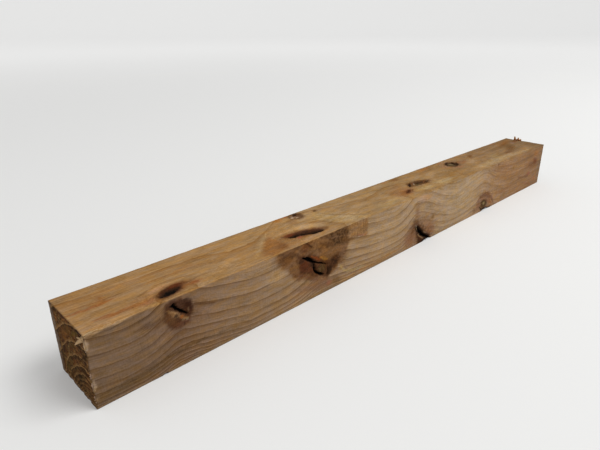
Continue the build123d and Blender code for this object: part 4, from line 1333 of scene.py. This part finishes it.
# %% Shader sockets, with the bumps as a height in millimetres
DULL = 0.05
bump_mm = streak * 0.14 + fleck * 0.16 * lively + late * 0.05 + saw * 0.14
bump_mm = bump_mm + grain * (on_end + cover) * 0.25
wood.dress(colour, wood.ease(streak, 0.3, 0.7, 0.72, 0.9), DULL, bump_mm, strength=0.8)
timber.data.materials.append(wood.material)
print("wood nodes", len(wood.tree.nodes))

# %% [markdown]
# ## Loose fibres
#
# A coarse saw leaves slivers that hang on by one end: one long forked one across the near end,
# a fringe of short ones round it, fine ones along the torn corner, and a tuft at the far end
# in which three broad ones stand highest. Each is a thin closed spindle, and all are joined in
# one mesh, because so many separate hairs would be a nuisance to anyone who uses it.

# %% A family of slivers
FIBRE_STATIONS = 9


def unit(vectors):
    return vectors / np.linalg.norm(vectors, axis=-1, keepdims=True)


def slivers(root, tip, breadth, thick, bulge, flat, tip_share):
    """Spindles (count, stations, 4, 3) from their roots to their tips.

    The centre line runs straight from root to tip, plus the bulge times the sine of half a
    turn. Round it each ring is a diamond, breadth wide along the flat direction and thick
    across it, whose size falls from 1 at the root to its tip share, as the power 1.5 of the
    way along.
    """
    root, tip, bulge, flat = (np.asarray(v, float)[:, None, :] for v in (root, tip, bulge, flat))
    breadth, thick, tip_share = (np.asarray(v, float)[:, None, None] for v in (breadth, thick, tip_share))
    way = np.linspace(0, 1, FIBRE_STATIONS)[None, :, None]
    line = root + (tip - root) * way + bulge * np.sin(math.pi * way)
    along = unit(tip - root)
    wide = unit(flat - np.sum(flat * along, -1, keepdims=True) * along)
    high = np.cross(along, wide)
    size = 1 - (1 - tip_share) * way ** 1.5
    half_wide, half_high = breadth / 2 * size * wide, thick / 2 * size * high
    return np.stack((line + half_wide, line + half_high, line - half_wide, line - half_high), 2)


def fringe(count, place, reach, clumps, width, seed):
    """Short slivers in clumps: roots at place(across), tips a random reach away.

    Each sliver belongs to one clump and lies off its middle by a normal random step of the
    clump's width. The reach gives the smallest and largest step of the tip along each axis.
    """
    rng = np.random.default_rng(seed)
    across = rng.choice(clumps, count) + rng.normal(0, width, count)
    root = place(np.clip(across, 0.6, WIDTH - 0.6))
    low, high = np.array(reach, float)
    tip = root + rng.uniform(low, high, (count, 3))
    return root, tip, rng.uniform(0.7, 1.3, count)


# %% The fringes and the named slivers, with the colour of each as seen
def at(x, y, z):
    """Points from numbers and arrays."""
    return np.stack(np.broadcast_arrays(np.asarray(x, float), y, z), -1)


EVERYWHERE = np.linspace(1, 44, 30)
FAR_TUFT = LENGTH - 0.9
TUFT_RISE = cad_box[1][2] / MM - HEIGHT
TUFT_ROOT = HEIGHT - 1.2
fibre_groups = []


def add_fibres(root, tip, breadth, thick, bulge, flat, seen, lit, tip_share=0.12):
    """Keep a group of slivers, all of one colour, which pales towards the tips."""
    root = np.asarray(root, float)
    shape = (len(root),)
    made = slivers(root, tip, np.broadcast_to(breadth, shape), np.broadcast_to(thick, shape),
                   np.broadcast_to(bulge, root.shape), np.broadcast_to(flat, root.shape),
                   np.broadcast_to(tip_share, shape))
    colour = np.broadcast_to(np.array(tint(*seen, lit)), made.shape)
    paling = 0.8 + 0.35 * np.linspace(0, 1, FIBRE_STATIONS)[None, :, None, None]
    fibre_groups.append((made, colour * paling))


def add_fringe(made, breadth, thick, flat, seen, lit, bulge=(0, 0, 0), tip_share=0.12, nearest=INSIDE):
    """Keep a fringe: each sliver's breadth goes by its random size, and tips stop at x = nearest."""
    root, tip, size = made
    tip[:, 0] = np.maximum(tip[:, 0], nearest)
    add_fibres(root, tip, breadth * size, thick, bulge, flat, seen, lit, tip_share)


add_fibres([(1.1, 0.8, 42.6), (0.8, 3.6, 40.2), (0.9, 0.5, 42.0)],
           [(0.25, 15.0, 31.8), (0.30, 10.2, 38.6), (0.30, 1.0, 35.2)],
           (3.4, 1.9, 3.0), (0.6, 0.5, 0.6), (-0.15, 0.0, 0.3), (0, 0.5, 0.8), (168, 138, 102), 0.62)
# The front rim, the underside's, the back's, the torn corner, and the tuft at the far end.
add_fringe(fringe(46, lambda z: at(0.9, 0.5, z), [(-0.6, 0.6, -1.6), (-0.3, 2.6, 0.8)],
                  (37.2, 20.3, 15.2, 12.6, 6.2), 1.1, 301),
           1.3, 0.35, (0, 0, 1), (158, 132, 112), 0.66)
add_fringe(fringe(44, lambda y: at(1.0, y, 0.5), [(-0.9, -0.7, -0.1), (-0.5, 0.7, 0.5)],
                  EVERYWHERE, 1.0, 302),
           0.8, 0.3, (0, 1, 0), (120, 98, 78), 0.6)
add_fringe(fringe(30, lambda z: at(1.0, WIDTH - 0.5, z), [(-0.8, -0.6, -1.4), (-0.5, 0.1, 0.6)],
                  EVERYWHERE, 1.0, 303),
           0.8, 0.3, (0, 0, 1), (122, 108, 98), 0.6)
add_fringe(fringe(26, lambda x: at(x * 0.66 + 1.5, 0.65, HEIGHT - 0.7),
                  [(-7.0, -0.35, -1.0), (-3.0, -0.1, 0.2)], EVERYWHERE, 1.0, 304),
           0.75, 0.3, (0, 0.7, 0.7), (190, 160, 120), 0.95, bulge=(0, 0, 0.3), nearest=0.3)
add_fringe(fringe(22, lambda y: at(FAR_TUFT - 0.3, y, TUFT_ROOT), [(-1.6, -1.8, 1.4), (0.1, 1.8, 3.2)],
                  (33.6, 31.8, 30.4, 29.0, 27.6, 26.2), 0.5, 305),
           1.5, 0.6, (0, 1, 0), (166, 112, 66), 0.8, tip_share=0.35)
add_fibres([(FAR_TUFT, 33.1, TUFT_ROOT), (FAR_TUFT, 30.0, TUFT_ROOT), (FAR_TUFT, 27.3, TUFT_ROOT)],
           [(FAR_TUFT, 34.0, 48.7), (FAR_TUFT, 29.6, 48.1), (FAR_TUFT, 26.6, 46.9)],
           (3.0, 2.6, 2.2), 1.1, (0, 0, 0), (0, 1, 0), (176, 144, 108), 0.85, 0.55)


# %% Join them in one mesh
def spindle_faces(count, rings):
    """Side quads of each spindle, and a quad over either end, as one array of corner numbers."""
    ring = np.arange(rings - 1)[:, None] * 4
    here, ahead = np.arange(4)[None, :], (np.arange(4)[None, :] + 1) % 4
    sides = np.stack((ring + here, ring + ahead, ring + 4 + ahead, ring + 4 + here), 2).reshape(-1, 4)
    last = (rings - 1) * 4
    one = np.concatenate((sides, [[3, 2, 1, 0]], [[last, last + 1, last + 2, last + 3]]))
    return (one[None] + np.arange(count)[:, None, None] * rings * 4).reshape(-1, 4)


fibre_points = np.concatenate([made for made, _ in fibre_groups]).reshape(-1, 3)
fibre_colour = np.concatenate([colour for _, colour in fibre_groups]).reshape(-1, 3)
fibre_points = np.clip(fibre_points, low_corner, high_corner + np.array([0.0, 0.0, TUFT_RISE]))
fibre_faces = spindle_faces(len(fibre_points) // (4 * FIBRE_STATIONS), FIBRE_STATIONS).tolist()
loose_fibres = make_piece("loose_fibres", fibre_points, fibre_faces, np.zeros(len(fibre_points)),
                          fibre_colour, np.ones(len(fibre_points)))

# %% Torn fibre: pale, dull and streaked from root to tip
torn = Bench("torn_fibre")
torn_place = torn.vector("MULTIPLY", torn.object_place(), TO_MM)
hair = torn.noise(torn.vector("MULTIPLY", torn_place, (1.2, 1.6, 1.6)), detail=3.0, roughness=0.6)
torn_colour = torn.scale(torn.attribute("stain", 1), 0.55 + hair * 0.9)
torn.dress(torn_colour, torn.ease(hair, 0.3, 0.7, 0.75, 0.92), DULL, hair * 0.3, strength=0.6)
loose_fibres.data.materials.append(torn.material)
print("slivers", len(fibre_faces) // (4 * (FIBRE_STATIONS - 1) + 2))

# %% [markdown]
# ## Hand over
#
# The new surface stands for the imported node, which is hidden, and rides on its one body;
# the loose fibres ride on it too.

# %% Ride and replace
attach(timber, BODY)
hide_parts(NODE)
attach(loose_fibres, BODY)
